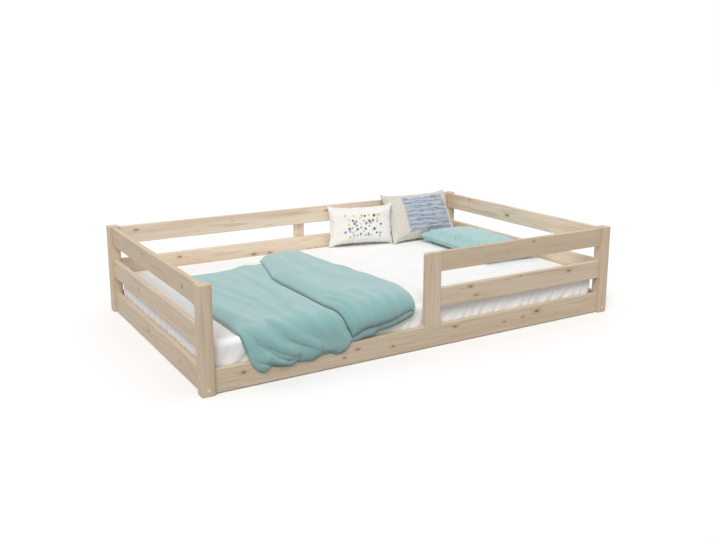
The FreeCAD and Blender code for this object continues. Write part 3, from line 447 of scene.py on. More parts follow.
def wandering(x, y, step, seed):
    """A smooth uneven field from about -1 to 1: nine sine waves of random heading, near the given
    step."""
    dice = np.random.default_rng(seed)
    total = np.zeros(x.shape)
    for _ in range(9):
        turn, phase = dice.uniform(0, 2 * math.pi, 2)
        wave = 2 * math.pi / (step * dice.uniform(0.6, 1.6))
        total += np.sin(wave * (x * math.cos(turn) + y * math.sin(turn)) + phase)
    return total / 5


def normals_of(grid):
    """Unit vectors along the grid's two directions and their cross product, at every point."""
    du, dv = np.gradient(grid, axis=0), np.gradient(grid, axis=1)
    du /= np.maximum(np.linalg.norm(du, axis=2, keepdims=True), 1e-9)
    dv /= np.maximum(np.linalg.norm(dv, axis=2, keepdims=True), 1e-9)
    across = np.cross(du, dv)
    return du, dv, across / np.maximum(np.linalg.norm(across, axis=2, keepdims=True), 1e-9)


def evened(grid, rounds):
    """The grid after rounds of taking every point to the mean of the four beside it."""
    for _ in range(rounds):
        padded = np.pad(grid, ((1, 1), (1, 1), (0, 0)), mode="edge")
        grid = (padded[:-2, 1:-1] + padded[2:, 1:-1] + padded[1:-1, :-2] + padded[1:-1, 2:]) / 4
    return grid


def painted_crease_shade_of(grid, outward):
    """How far each point lies below its evened neighbourhood, in millimetres, as a share of 2.4:
    the share of painted shade that deepens the cloth's colour down in a crease.
    """
    return np.clip(((evened(grid, 14) - grid) * outward).sum(axis=2) / 2.4, 0, 1)


def woven(name, main, shade, thread, rough, sheen, relief=0.25):
    """Plain-weave cloth: two sets of threads a stated number of millimetres apart as a fine bump,
    small knots in the yarn as colour, and a soft sheen from the loose fibres."""
    made, put, dress = new_finish(name, Roughness=rough, IOR=1.46, Sheen_Weight=sheen,
                                  Sheen_Roughness=0.5, Specular_IOR_Level=0.3)
    here = put("TexCoord", out="Object")
    warp, weft = (put("TexWave " + way, here, ONE_BAND / (thread * MM), 0.8, out="Fac")
                  for way in ("X", "DIAGONAL"))
    yarn = put("TexNoise", here, 1 / (thread * 9 * MM), 3.0, 0.6)
    cloud = put("TexNoise", here, 7.0)
    share = put("Math ADD", put("MapRange", yarn, 0.3, 0.75, 0.0, 0.35),
                put("MapRange", cloud, 0.3, 0.7, 0.0, 0.4))
    tone = put("Mix", share, main, shade)
    height = put("Math ADD", put("Math ADD", warp, weft), yarn)
    dress(Base_Color=tone, Normal=put("Bump", Height=height, Distance=relief * MM, Strength=0.5))
    return made, put, dress, tone


def washed_cotton(name, main, shade, flat_size=None):
    """Washed, slightly brushed cotton: a deep tone where it is seen square on and a pale bloom
    where it is seen aslant, and painted shade that deepens its colour down in its creases. On a bag
    of the given size, the rim along its opening is turned in four layers, with a dark painted
    shadow line along it and a stitch line 9 mm in."""
    made, put, dress, tone = woven(name, main, shade, 1.5, 0.92, 0.8)
    # painted shade: the colour deepens towards #234F52, by up to 0.85, where the cloth lies down in
    # a crease
    deep = put("Attribute hollow", out="Fac")
    tone = put("Mix", put("MapRange", deep, 0.1, 0.9, 0.0, 0.85), tone, "#234F52")
    if flat_size:
        length, width = flat_size
        u, v, _ = put("SeparateXYZ", put("TexCoord", out="UV")).node.outputs
        end = put("Math SUBTRACT", length, put("Math MODULO", u, FAR_CLOTH))
        side = put("Math MINIMUM", v, put("Math SUBTRACT", width, v))
        # the painted shadow line shows only along the flap's third of the side seams, as in the
        # picture
        side = put("Math ADD", side, put("MapRange", end, 0.36, 0.42, 0.0, 0.02))
        rim = put("Math MINIMUM", end, side)
        # painted shadow: a dark band along the rim, fading in from 8 mm and full from 3 mm, stands
        # for the shadow line at the hem; the stitch line 9 mm in is a stitched mark
        edge = put("MapRange", rim, 8 * MM, 3 * MM, 0.0, 0.95)
        stitch = put("Math MULTIPLY", put("MapRange", rim, 7 * MM, 9 * MM),
                     put("MapRange", rim, 11 * MM, 9 * MM, 0.0, 0.25))
        tone = put("Mix", put("Math MAXIMUM", edge, stitch), tone, "#1F4648")
    dress(Base_Color=tone, Sheen_Tint="#DDE4E4", Sheen_Roughness=0.8)
    return made


def speckled(name, main, shade, fleck, thread):
    """Slub cotton: plain weave with thick and thin yarn, and darker flecks 3 to 6 mm long."""
    made, put, dress, tone = woven(name, main, shade, thread, 0.94, 0.2, 0.4)
    where = put("VectorMath MULTIPLY", put("TexCoord", out="Object"), (150, 150, 420))
    flecks = put("MapRange", put("TexNoise", where, 1.0), 0.58, 0.70, 0.0, 0.8)
    return made, put, dress, put("Mix", flecks, tone, fleck)


def painted_bands(made, put, dress, cloth):
    """Blue fabric paint in level brush bands 27 mm apart, with wavering edges and thin places, on
    the middle of the cushion's face; measured on the flat cloth."""
    flat = put("TexCoord", out="UV")
    across, up, _ = put("SeparateXYZ", flat).node.outputs
    level = put("Math ADD", up, put("Math MULTIPLY_ADD", put("TexNoise", flat, 22.0, 3.0),
                                    22 * MM, -11 * MM))
    ends = put("Math ADD", across, put("Math MULTIPLY_ADD", put("TexNoise", flat, 60.0),
                                       30 * MM, -15 * MM))
    step = put("Math FRACT", put("Math MULTIPLY_ADD", level, 1 / (27 * MM), 40.0))
    off = put("Math ABSOLUTE", put("Math SUBTRACT", step, 0.5))
    share = put("MapRange", off, 0.46, 0.38)
    for place, outside, inside in ((ends, -125, -112), (ends, 172, 160), (level, -112, -104),
                                   (level, 118, 110)):
        share = put("Math MULTIPLY", share, put("MapRange", place, outside * MM, inside * MM))
    wash = put("TexNoise", put("VectorMath MULTIPLY", flat, (14.0, 70.0, 1.0)), 1.0, 3.0, 0.6)
    share = put("Math MULTIPLY", share, put("MapRange", wash, 0.2, 0.75, 0.95, 0.6))
    paint = put("Mix", put("MapRange", wash, 0.35, 0.65), "#6A82A6", "#9DB0CA")
    dress(Base_Color=put("Mix", share, cloth, paint))
    return made


def printed_dots(made, put, dress, cloth):
    """Printed dots of four colours, one to a 23 mm cell and 3 to 9 mm in radius, on the middle of
    the cushion's face; whole dots are kept or left out by where their cell's point lies."""
    cells = put("TexVoronoi 2D", put("TexCoord", out="UV"), 1 / (23 * MM),
                Randomness=0.85).node.outputs
    draw = put("SeparateXYZ", cells["Color"]).node.outputs
    radius = put("Math MULTIPLY_ADD", draw[0], 0.24, 0.15)
    share = put("MapRange", put("Math SUBTRACT", cells["Distance"], radius), 0.02, -0.02)
    for place, half in zip(put("SeparateXYZ", cells["Position"]).node.outputs, (105, 62)):
        inside = put("Math LESS_THAN", put("Math ABSOLUTE", place), half * MM)
        share = put("Math MULTIPLY", share, inside)
    ink = put("ValToRGB", draw[1])
    ramp = ink.node.color_ramp
    ramp.interpolation = "CONSTANT"
    for spot, code in ((0.0, "#3E5582"), (0.42, "#EAC95C"), (0.62, "#8B8F97"), (0.8, "#9FB6D8")):
        stop = ramp.elements[0] if spot == 0.0 else ramp.elements.new(spot)
        stop.position, stop.color = spot, colour(code)
    ramp.elements.remove(ramp.elements[-1])
    dress(Base_Color=put("Mix", put("Math MULTIPLY", share, 0.92), cloth, ink))
    return made


# ---------------- mattress and fitted sheet

SLAB_CORNER = 31 * MM       # radius of the mattress's upright corners
EDGE_FADE = 40 * MM         # how far in from the edge creases and channels reach their depth


def slab_grid(half_x, half_y, step):
    """A rectangle's points, its corner squares pressed into quarter circles: x' = x sqrt(1 - y^2/2)
    and y' = y sqrt(1 - x^2/2) in units of the corner's radius. The third array rises from 0 at the
    edge to 1 inside."""
    def axis(half):
        inner = half - SLAB_CORNER
        return np.concatenate([-inner - SLAB_CORNER * np.linspace(1, 0, 6)[:-1],
                               np.linspace(-inner, inner, int(2 * inner / step) + 1),
                               inner + SLAB_CORNER * np.linspace(0, 1, 6)[1:]])
    x, y = np.meshgrid(axis(half_x), axis(half_y), indexing="ij")
    over_x = np.maximum(np.abs(x) - half_x + SLAB_CORNER, 0) / SLAB_CORNER
    over_y = np.maximum(np.abs(y) - half_y + SLAB_CORNER, 0) / SLAB_CORNER
    both = (over_x > 0) & (over_y > 0)
    round_x = over_x * np.sqrt(1 - over_y ** 2 / 2)
    round_y = over_y * np.sqrt(1 - over_x ** 2 / 2)
    x = np.where(both, np.sign(x) * (half_x - SLAB_CORNER + SLAB_CORNER * round_x), x)
    y = np.where(both, np.sign(y) * (half_y - SLAB_CORNER + SLAB_CORNER * round_y), y)
    return x, y, smooth(np.minimum(half_x - np.abs(x), half_y - np.abs(y)), 0, EDGE_FADE)


def border_of(index):
    """The numbers of a grid's border ring, anticlockwise seen from above."""
    return np.concatenate([index[:-1, 0], index[-1, :-1], index[:0:-1, -1], index[0, :0:-1]])


def draped_slab(half_x, half_y, step, rings, top, ripple, crease):
    """A sheet over a block: a grid on top, then rings that follow its border outwards. rings are
    (distance out, height) pairs; ripple(s, height) moves a ring's points outwards, s being the
    length along the border; crease(x, y) lowers the top."""
    x, y, fade = slab_grid(half_x, half_y, step)
    flat = np.stack([x, y, top + crease(x, y) * fade], axis=2).reshape(-1, 3)
    index = np.arange(x.size).reshape(x.shape)
    ring = border_of(index)
    rim = flat[ring, :2]
    inner = np.array([half_x, half_y]) - SLAB_CORNER
    outward = rim - np.clip(rim, -inner, inner)
    outward /= np.linalg.norm(outward, axis=1, keepdims=True)
    out, level = np.array(rings).T[:, :, None]
    reach = out + ripple(lengths_along(rim)[None, :], level)
    rows = np.concatenate([rim[None] + outward[None] * reach[:, :, None],
                           np.broadcast_to(level[:, :, None], (*reach.shape, 1))], axis=2)
    numbers = x.size + np.arange(reach.size).reshape(reach.shape)
    bands = np.concatenate([ring[None], numbers])
    bands = np.concatenate([bands, bands[:, :1]], axis=1)
    return (np.concatenate([flat, rows.reshape(-1, 3)]),
            np.concatenate([quads(index), quads(bands.T, flip=True)]))


def edge_profile(radius, top, bottom, tuck=None):
    """(out, height) pairs: a quarter circle at the top edge, the plumb side, a quarter circle at
    the bottom edge, and the part drawn in below."""
    angles = np.radians(np.linspace(15, 90, 6))
    pairs = [(radius * math.sin(a), top - radius * (1 - math.cos(a))) for a in angles]
    pairs += [(radius, z) for z in np.linspace(top - radius, bottom + radius, 13)[1:]]
    pairs += [(radius * math.cos(a), bottom + radius * (1 - math.sin(a))) for a in angles]
    if tuck:
        pairs += [(-distance, bottom) for distance in np.linspace(0, tuck - radius, 4)[1:]]
    return pairs


def make_sheet():
    """White jersey over the mattress: gathers on its sides 41 and 68 mm apart, slanting and
    growing towards the elastic hem below, and shallow creases along the top."""
    radius, wall_half = 25.5 * MM, 0.6 * MM
    low, high = SHEET_LOW + wall_half, SHEET_HIGH - wall_half

    def wave(s, length):
        """A sine wave of the given length."""
        return np.sin(2 * math.pi * s / length)

    def valleys(s, step, wide):
        """Sharp dents a step apart along s: exp(-(d / wide)^1.2) of the distance to the nearest."""
        away = np.abs((s / step) % 1 - 0.5) * step
        return np.exp(-(away / wide) ** 1.2)

    def gathers(s, level):
        """Two sets of slanting dents, at most 10 mm deep, whose depth wavers along the border."""
        fall = high[2] - level
        uneven = s + 0.62 * fall + 19 * MM * wave(s, 0.31) + 11 * MM * wave(s, 0.17)
        grow = smooth(fall, 6 * MM, 66 * MM)
        # strongest along the head half of the front, where the picture shows them, and behind
        amount = (0.62 + 0.38 * wave(s - 1.05, 2.2)) * (0.8 + 0.2 * wave(s, 0.37))
        dents = valleys(uneven, 0.068, 9 * MM) + 0.5 * valleys(uneven + 0.017, 0.041, 6 * MM)
        below = np.where(level < low[2] + 0.5 * MM, 0.3, 1.0)
        return -np.minimum(dents, 1.2) / 1.2 * grow * below * (0.25 + 0.75 * amount) * 10 * MM

    def lines(x, y):
        """Long folds and a few across them, at most 4.5 mm deep, with a low unevenness."""
        area = (-950, -560), (950, 560)
        long_folds = creases(x * 1000, y * 1000, 46, (240, 760), (7, 22), (0.8, 2.2),
                             lambda mx, my: 0.0, 0.25, 5, *area)
        cross = creases(x * 1000, y * 1000, 30, (120, 380), (6, 16), (0.6, 1.8),
                        lambda mx, my: 1.3, 0.5, 8, *area)
        return np.clip(long_folds + cross + wandering(x, y, 0.35, 3) * 0.7 - 1.8, -4.5, 0) * MM

    points, faces = draped_slab(high[0] - radius, high[1] - radius, 9 * MM,
                                edge_profile(radius, high[2], low[2], 110 * MM), high[2],
                                gathers, lines)
    finish = woven("white_cotton_jersey", "#FAFAF9", "#F2F2F1", 1.6, 0.88, 0.15, 0.12)[0]
    piece = build("jersey_fitted_sheet", points, faces, finish, "mattress",
                  ["fitted_sheet"])
    wall = piece.modifiers.new("thickness", "SOLIDIFY")
    wall.thickness, wall.offset = 1.0 * MM, 0.0


def make_mattress():
    """The foam mattress in its quilted cover: bowed channels 90 mm apart in both directions on its
    broad faces, and a piping line round its side. The sheet hides all but its underside."""
    low, high = corners_of("mattress")
    radius, shy, channel, depth = 24 * MM, 11.5 * MM, 90 * MM, 5 * MM
    half_x, half_y = high[0] - radius - shy, high[1] - radius - shy

    def panels(x, y):
        """Sewn lines at 0 and crowns between them at the depth: |sin x sin y|^0.4."""
        wave = np.abs(np.sin(math.pi * x / channel)) * np.abs(np.sin(math.pi * y / channel))
        return (wave ** 0.4 - 1) * depth

    def side(s, level):
        """The piping's groove, 3 mm deep and 120 mm up."""
        return -3 * MM * np.exp(-((level - 0.12) / (6 * MM)) ** 2) + 0 * s

    top = high[2] - 4 * MM
    points, faces = draped_slab(half_x, half_y, 15 * MM, edge_profile(radius, top, low[2]), top,
                                side, lambda x, y: panels(x, y) - depth)
    # the underside: the top's own grid again, at the bottom's height, its channels turned down,
    # and its border's numbers those of the last ring
    x, y, fade = slab_grid(half_x, half_y, 15 * MM)
    base = np.stack([x, y, low[2] - panels(x, y) * fade], axis=2).reshape(-1, 3)
    index = np.arange(x.size).reshape(x.shape)
    ring = border_of(index)
    numbers = len(points) + index.ravel()
    numbers[ring] = len(points) - len(ring) + np.arange(len(ring))
    faces = np.concatenate([faces, quads(numbers.reshape(x.shape), flip=True)])
    used, faces = np.unique(faces, return_inverse=True)
    finish = woven("quilted_cotton_ticking", "#F0EFEA", "#DEDCD4", 1.8, 0.9, 0.2, 0.3)[0]
    piece = build("quilted_foam_mattress", np.concatenate([points, base])[used],
                  faces.reshape(-1, 4), finish, "mattress", ["mattress"])


# ---------------- duvet

# Everything here is in millimetres, bed-centred, until make_duvet builds the piece. x runs along
# the bed, and w along the duvet's fall: level on the sheet, over the mattress edge and the rail.
FALL_STEP = 0.5
FALL_AT = np.arange(-1400, 330, FALL_STEP)
FALL_SLOPE = (np.radians(68) * smooth(FALL_AT, -24, 54) + np.radians(22) * smooth(FALL_AT, 92, 128))
FALL_END = -626.5           # y of the fall's lower end, in front of the rail
FALL_Y = -np.cumsum(np.cos(FALL_SLOPE)) * FALL_STEP
FALL_Y += FALL_END - FALL_Y[-1]
FALL_Z = SHEET_TOP * 1000 + 0.5 - np.cumsum(np.sin(FALL_SLOPE)) * FALL_STEP


def laid(top, front=()):
    """A line as (x, w) points, given as (x, y) on the sheet and then (x, height) in front."""
    return ([(x, float(np.interp(-y, -FALL_Y, FALL_AT))) for x, y in top] +
            [(x, float(np.interp(-z, -FALL_Z, FALL_AT))) for x, z in front])


FOOT_EDGE = [(w, x) for x, w in laid(((-806, 300), (-826, 240), (-858, 100), (-874, -100),
    (-876, -356), (-872, -463), (-874, -560)), ((-864, 159), (-846, 106), (-836, 86), (-815, 50)))]
FOLD_EDGE = [(w, x) for x, w in laid(((-150, 430), (-143, 372), (-137, 244), (-124, 37),
    (-97, -104), (-76, -293), (-66, -440), (-80, -520), (-88, -575)), ((-90, 178), (-88, 160),
    (-104, 140)))]
FLAP_HEM = [(w, x) for x, w in laid(((-338, 446), (-344, 400), (-360, 350), (-376, 300),
    (-408, 180), (-455, 14), (-458, -113), (-455, -326), (-458, -487), (-450, -560)), ((-432, 170),
    (-408, 130), (-398, 110)))]
LOW_BACK = laid(((-900, 226), (-840, 250), (-760, 282), (-631, 292), (-545, 306), (-490, 346),
    (-465, 356), (-436, 334), (-395, 348), (-360, 374), (-300, 385), (-200, 410), (-110, 424)))
FLAP_BACK = laid(((-470, 372), (-372, 380), (-340, 392), (-280, 408), (-200, 420), (-110, 424)))
LOW_HEM = laid((), ((-880, 88), (-850, 92), (-841, 88), (-827, 68), (-800, 43), (-779, 42),
    (-765, 56), (-758, 62), (-717, 51), (-667, 47), (-653, 59), (-617, 54), (-573, 50), (-544, 63),
    (-499, 66), (-469, 54), (-430, 62), (-404, 94), (-347, 101), (-291, 105), (-275, 115),
    (-210, 119), (-144, 134), (-97, 148), (-60, 152)))
FLAP_HEM_FRONT = laid((), ((-470, 108), (-394, 114), (-347, 131), (-283, 135), (-210, 144),
    (-144, 160), (-102, 168), (-50, 170)))

# folds that the picture shows: line of (x, y on top) and (x, height in front), height, width,
# how much steeper the second side is
TOP_FOLDS = (
    (((-536, 217), (-540, 60), (-546, -84), (-540, -221), (-560, -338), (-590, -480)),
     ((-592, 186), (-560, 160)), 9, 22, 2.2),
    (((-500, 60), (-512, -84), (-520, -221), (-548, -400), (-580, -540)),
     ((-576, 188), (-540, 160), (-510, 137), (-478, 98)), 9, 22, 2.2),
    (((-692, 40), (-680, -130), (-654, -300), (-648, -460), (-648, -556)),
     ((-642, 185), (-620, 160)), 7, 20, 2.0),
    (((-790, 120), (-758, -71), (-740, -181), (-714, -260), (-700, -420)), (), 6, 18, 1.8),
    (((-830, -200), (-822, -364), (-800, -520)), ((-780, 186), (-740, 165)), 6, 20, 1.8),
    (((-850, -560),), ((-827, 186), (-772, 158), (-717, 124), (-660, 104), (-617, 98)),
     11, 20, -2.6),
    (((-745, -500), (-728, -556)), ((-717, 186), (-646, 150), (-573, 116), (-514, 87)),
     8, 17, -2.0),
    ((), ((-800, 112), (-745, 88), (-690, 68)), 6, 11, -1.8),
    (((-478, -250), (-480, -400), (-492, -520)), ((-480, 170), (-440, 120), (-425, 100)),
     7, 20, 1.8),
    (((-720, 190), (-712, 90), (-700, 20)), (), 4, 16, 1.5),
    (((-600, 230), (-612, 120), (-600, -20)), (), 4, 18, 1.6),
)
TOP_GROOVES = (
    ((), ((-830, 160), (-800, 148), (-772, 123), (-731, 93), (-688, 80), (-650, 76)), -9, 8, 1.0),
    ((), ((-834, 98), (-758, 76), (-684, 57)), -8, 7, 1.0),
    ((), ((-582, 62), (-536, 77), (-462, 71)), -9, 8, 1.0),
    ((), ((-544, 60), (-540, 92), (-556, 124)), -5, 7, 1.3),
    ((), ((-760, 56), (-754, 78), (-776, 98)), -5, 7, 1.3),
    ((), ((-653, 54), (-640, 84), (-650, 104)), -4, 7, 1.3),
)
FLAP_FOLDS = (
    (((-300, 330), (-330, 100), (-350, -160)), (), 6, 30, 1.5),
    (((-190, 380), (-230, 150), (-240, -80), (-200, -330)), (), 7, 36, 1.4),
    (((-400, -330), (-350, -500)), ((-330, 185), (-320, 160)), 8, 22, 1.8),
    (((-420, -420), (-400, -520)), ((-380, 180), (-372, 150)), 8, 14, 1.6),
    (((-440, -500),), ((-415, 182), (-398, 150)), 5, 9, 1.3),
    (((-300, -400), (-270, -520)), ((-262, 182), (-250, 160)), 7, 22, 1.6),
    (((-366, 366), (-372, 300), (-392, 240)), (), -6, 5, 1.0),
    (((-170, -450), (-198, -550)), ((-206, 178), (-196, 152)), 9, 22, 1.9),
    (((-112, -470), (-136, -560)), ((-142, 184), (-150, 168)), 5, 16, 1.6),
)
# where the flap's back corner stands up a little off the layer below: x, y, height and reach
PERK = (-352, 388, 15, 60)


def relief(x, w, folds):
    """The named folds' heights added up, at x and the distance w along the fall."""
    return sum(fold(x, w, laid(top, front), *shape) for top, front, *shape in folds)


FLANGE = 9                  # the sewn rim
ROLL = 70                   # how far in from the flange the filling reaches its full thickness


def filling(gap):
    """The filling's share of its full thickness at a distance from the rim: a quarter circle."""
    rise = np.clip((gap - FLANGE) / ROLL, 0, 1)
    return np.sqrt(1 - (1 - rise) ** 2)


def duvet_layers(nu_low, nu_turn, nu_flap, nv):
    """The duvet's middle surface and half thickness.

    u runs from the foot edge along the lower layer, half round the fold and back along the flap;
    v runs from the back edge to the front hem. A point lies x along the bed and w along the fall,
    raised off the fall's line by half the cloth's thickness, by the layer below it and by folds."""
    v = np.linspace(0, 1, nv)[None, :]
    low_s = np.linspace(0, 1, nu_low)[:, None]
    flap_s = np.linspace(0, 1, nu_flap)[:, None]
    turn = np.linspace(-math.pi / 2, math.pi / 2, nu_turn + 2)[1:-1, None]

    def place(share, start, end, back, hem):
        """x and w of a layer: both edges depend on w and both ends on x, so it is read 4 times."""
        w = -1000 + 1100 * v + 0 * share
        for _ in range(4):
            x = (1 - share) * read(start, w) + share * read(end, w)
            w = read(back, x) + v * (read(hem, x) - read(back, x))
        return x, w

    inset = 20.0
    fold_in = [(w, x - inset) for w, x in FOLD_EDGE]
    x_low, w_low = place(low_s, FOOT_EDGE, fold_in, LOW_BACK, LOW_HEM)
    x_flap, w_flap = place(flap_s, fold_in, FLAP_HEM, FLAP_BACK, FLAP_HEM_FRONT)

    def rim(gap):
        """A layer's half thickness as a share of its full one: the flange has 0.16."""
        return 0.16 + 0.84 * filling(gap)

    def plump_low(x, w):
        """The lower layer's half thickness: up to 13.5 mm, and 42% less where it hangs."""
        gap = np.minimum(np.minimum(w - read(LOW_BACK, x), read(LOW_HEM, x) - w),
                         x - read(FOOT_EDGE, w))
        return 13.5 * rim(gap) * (1 - 0.42 * smooth(w, 20, 110))

    def low_relief(x, w):
        """Broad waves, the picture's folds, and what the flap's hem presses down beside it."""
        broad = wandering(x, w, 210, 21) * 2.6 + 2.6
        edge = smooth(np.minimum(w - read(LOW_BACK, x), x - read(FOOT_EDGE, w)), 0, 90)
        shape = 1.15 * relief(x, w, TOP_FOLDS) + relief(x, w, TOP_GROOVES)
        pressed = x - read(FLAP_HEM, w)
        shape -= 6 * np.exp(-((pressed - 2) / 9) ** 2) * smooth(w - read(FLAP_BACK, x), -10, 20)
        return broad * (0.25 + 0.75 * edge) * (1 - 0.4 * smooth(w, 0, 90)) + shape

    t_low = plump_low(x_low, w_low)
    h_low = t_low + np.maximum(low_relief(x_low, w_low), -0.7 * t_low)

    # what the flap lies on: the lower layer's top, fading out past that layer's back edge
    inside = smooth(w_flap - read(LOW_BACK, x_flap), -30, 40)
    under = (2 * plump_low(x_flap, w_flap) + 0.75 * low_relief(x_flap, w_flap)) * inside
    perk_x, perk_y, perk_height, perk_reach = PERK
    (_, perk_w), = laid([(perk_x, perk_y)])
    under += perk_height * np.exp(-((x_flap - perk_x) / perk_reach) ** 2 -
                                  ((w_flap - perk_w) / perk_reach) ** 2)
    gap = np.minimum(np.minimum(w_flap - read(FLAP_BACK, x_flap),
                                read(FLAP_HEM_FRONT, x_flap) - w_flap),
                     x_flap - read(FLAP_HEM, w_flap))
    t_flap = 11.5 * rim(gap) * (1 - 0.25 * smooth(w_flap, 0, 90))
    broad = wandering(x_flap, w_flap, 230, 33) * 2.2 + 2.2
    raised = (broad + relief(x_flap, w_flap, FLAP_FOLDS)) * smooth(gap, 0, 45)
    h_flap = under + t_flap + 2.5 + raised

    def joined(low, flap, extra=0.0):
        """Lower layer, turn and flap in one: the turn runs from one to the other as its sine does,
        plus the extra."""
        between = low[-1] + (flap[0] - low[-1]) * (np.sin(turn) + 1) / 2
        return np.concatenate([low, between + extra, flap])

    # the turn is half an ellipse
    x = joined(x_low, x_flap, inset * np.cos(turn))
    w = joined(w_low, w_flap)
    h = joined(h_low, h_flap)
    t = np.maximum(joined(t_low, t_flap, -2.0 * np.cos(turn) * rim(60)), 0.7)
    # the flap's underside faces down, so the side that faced up there is the bag's other side
    slope = np.interp(w, FALL_AT, FALL_SLOPE)
    y = np.interp(w, FALL_AT, FALL_Y) - h * np.sin(slope)
    z = np.interp(w, FALL_AT, FALL_Z) + h * np.cos(slope)
    return np.stack([x, y, z], axis=2), t, x, w


# the line from the mattress's top edge to the rail's top: its normal, and a point on it as (y, z)
SLANT, SLANT_AT = (-0.9272, 0.3746), (-596.6, 175.4)
RAIL_FACE = -625.5


def clear_of_bed(points, gap=0.5):
    """Pushes points out of the sheet and the front rail: straight up from the sheet, square off
    the slant between the mattress edge and the rail, and forward off the rail."""
    y, z = points[..., 1], points[..., 2]
    up = z - (SHEET_TOP * 1000 + gap)
    out = SLANT[0] * (y - SLANT_AT[0]) + SLANT[1] * (z - SLANT_AT[1]) - gap
    fore = -(y - RAIL_FACE + gap)
    short = np.maximum(-np.maximum(np.maximum(up, out), fore), 0)
    pick = np.argmax(np.stack([up, out, fore]), axis=0)
    moved = points.copy()
    moved[..., 1] += short * np.choose(pick, (0, SLANT[0], -1))
    moved[..., 2] += short * np.choose(pick, (1, SLANT[1], 0))
    return moved


def pull(x, w):
    """Which way the small folds run, in radians from +X: along the fall on top of the bed, and
    slanting towards the head end where the cloth hangs, most of all near the foot-end corner."""
    hang = float(smooth(w, -160, 60))
    low_corner = float(smooth(-x, 560, 860))
    return 1.5 + 0.25 * math.sin(x / 170 + w / 300) - hang * (0.62 + 0.5 * low_corner)


def make_duvet():
    """A child's cotton duvet, filled flat by simulation and then laid in its folds: the simulation
    gives each point of the flat bag a shift, and the same shift is added in the folded one."""
    nu_low, nu_turn, nu_flap, nv = 93, 7, 41, 131
    coarse = duvet_layers(nu_low, nu_turn, nu_flap, nv)[0]
    # lengths along the middle row and column give the flat bag
    u_len, v_len = lengths_along(coarse[:, nv // 2]), lengths_along(coarse[60])
    flat_u, flat_v = np.meshgrid(u_len, v_len, indexing="ij")
    gap = np.minimum(np.minimum(flat_u, u_len[-1] - flat_u), np.minimum(flat_v, v_len[-1] - flat_v))
    half = (12.5 * filling(gap) + 0.8) * (gap > 0)
    flat = np.stack([flat_u, flat_v, 0 * flat_u], axis=2) * MM
    lift = np.stack([0 * half, 0 * half, half], axis=2) * MM
    near_side, far_side = filled(flat + lift, flat - lift, 7 * MM, slack=0.035)
    near_shift = finer(evened(near_side - flat - lift, 3)) * 1000
    far_shift = finer(evened(far_side - flat + lift, 3)) * 1000

    middle, t, x, w = duvet_layers(2 * nu_low - 1, 2 * nu_turn + 1, 2 * nu_flap - 1, 2 * nv - 1)
    du, dv, up = normals_of(middle)
    t[0], t[-1], t[:, 0], t[:, -1] = 0, 0, 0, 0
    fine = creases(x, w, 150, (90, 340), (5, 15), (1.0, 3.0), pull, 0.3, 17,
                   (-880, -1000), (-60, -60))
    fine += creases(x, w, 70, (70, 240), (5, 12), (1.6, 4.4), pull, 0.22, 29,
                    (-860, -120), (-80, 160))
    # most are valleys: cloth with a filling shows dark lines and hardly a ridge
    fine = np.minimum(-fine, -0.35 * fine) * smooth(t, 0.5, 6)
    # the lower layer's side that shows is the near one, and the flap's is the far one
    open_top = 1.0 * (np.arange(len(middle))[:, None] < 2 * nu_low + nu_turn)
    # the filling stays low on both sides of the flap's hem, so that its edge stands clear
    hold = 0.1 + 0.9 * smooth(np.abs(x - read(FLAP_HEM, w)), 14, 64)
    near_rise = near_shift[..., 2] * hold + fine * open_top
    far_rise = -far_shift[..., 2] * hold + fine * (1 - open_top)
    # up points to the sky on the lower layer, and to the sheet on the flap, where it is turned over
    near_side = middle + up * np.maximum(t + near_rise, 0.4 * t)[..., None]
    far_side = middle - up * np.maximum(t + far_rise, 0.4 * t)[..., None]
    near_side += 0.4 * (du * near_shift[..., :1] + dv * near_shift[..., 1:2])
    far_side += 0.4 * (du * far_shift[..., :1] + dv * far_shift[..., 1:2])
    # painted shade: each point's depth in a crease, and in the front hem's grooves, darkens the
    # duvet cover's colour
    near_painted_crease_shade = 0.7 * painted_crease_shade_of(near_side, up)
    near_painted_crease_shade = np.maximum(near_painted_crease_shade, open_top * np.clip(-relief(x, w, TOP_GROOVES) / 6, 0, 1))
    hollow = bag_list(near_painted_crease_shade, 0.7 * painted_crease_shade_of(far_side, -up))
    near, far = two_sided(*middle.shape[:2])
    finish = washed_cotton("washed_cotton_duvet_cover", "#78ADAC", "#6CA0A0",
                           (u_len[-1] * MM, v_len[-1] * MM))
    piece = build("folded_cotton_duvet", clear_of_bed(bag_list(near_side, far_side)) * MM,
                  bag_faces(near, far), finish, "duvet", ["duvet"],
                  bag_uv(finer(flat_u) * MM, finer(flat_v) * MM), hollow)


# ---------------- pillow and cushions

def cushion_sides(length, height, loft, pinch, count_a, count_b, under):
    """A stuffed cushion lying flat: a and b run from -1 to 1, the plan's sides draw in by pinch
    where the other parameter is 0, and the crown is ((1 - |a|^2.4)(1 - |b|^2.4))^0.5."""
    def ease(count):
        """Steps from -1 to 1 that close up towards both ends, as a sine's do."""
        quarter = math.pi / 2 * 0.86
        return np.sin(np.linspace(-1, 1, count) * quarter) / math.sin(quarter)

    def waver(t):
        """The seam's own wavering: sine waves 26, 41 and 67 mm long."""
        return sum(np.sin(2 * math.pi * t / step + step * 90)
                   for step in (0.026, 0.041, 0.067)) * 1.1 * MM

    a, b = np.meshgrid(ease(count_a), ease(count_b), indexing="ij")
    x = a * length / 2 * (1 - pinch * (1 - b ** 2) * (height / length) ** 0.5)
    y = b * height / 2 * (1 - pinch * (1 - a ** 2) * (length / height) ** 0.5)
    x, y = x - a ** 7 * np.abs(waver(y)), y - b ** 7 * np.abs(waver(x))
    crown = np.sqrt(np.maximum((1 - np.abs(a) ** 2.4) * (1 - np.abs(b) ** 2.4), 0)) * loft / 2
    return np.stack([x, y, crown], axis=2), np.stack([x, y, -crown * under], axis=2), x, y, a, b


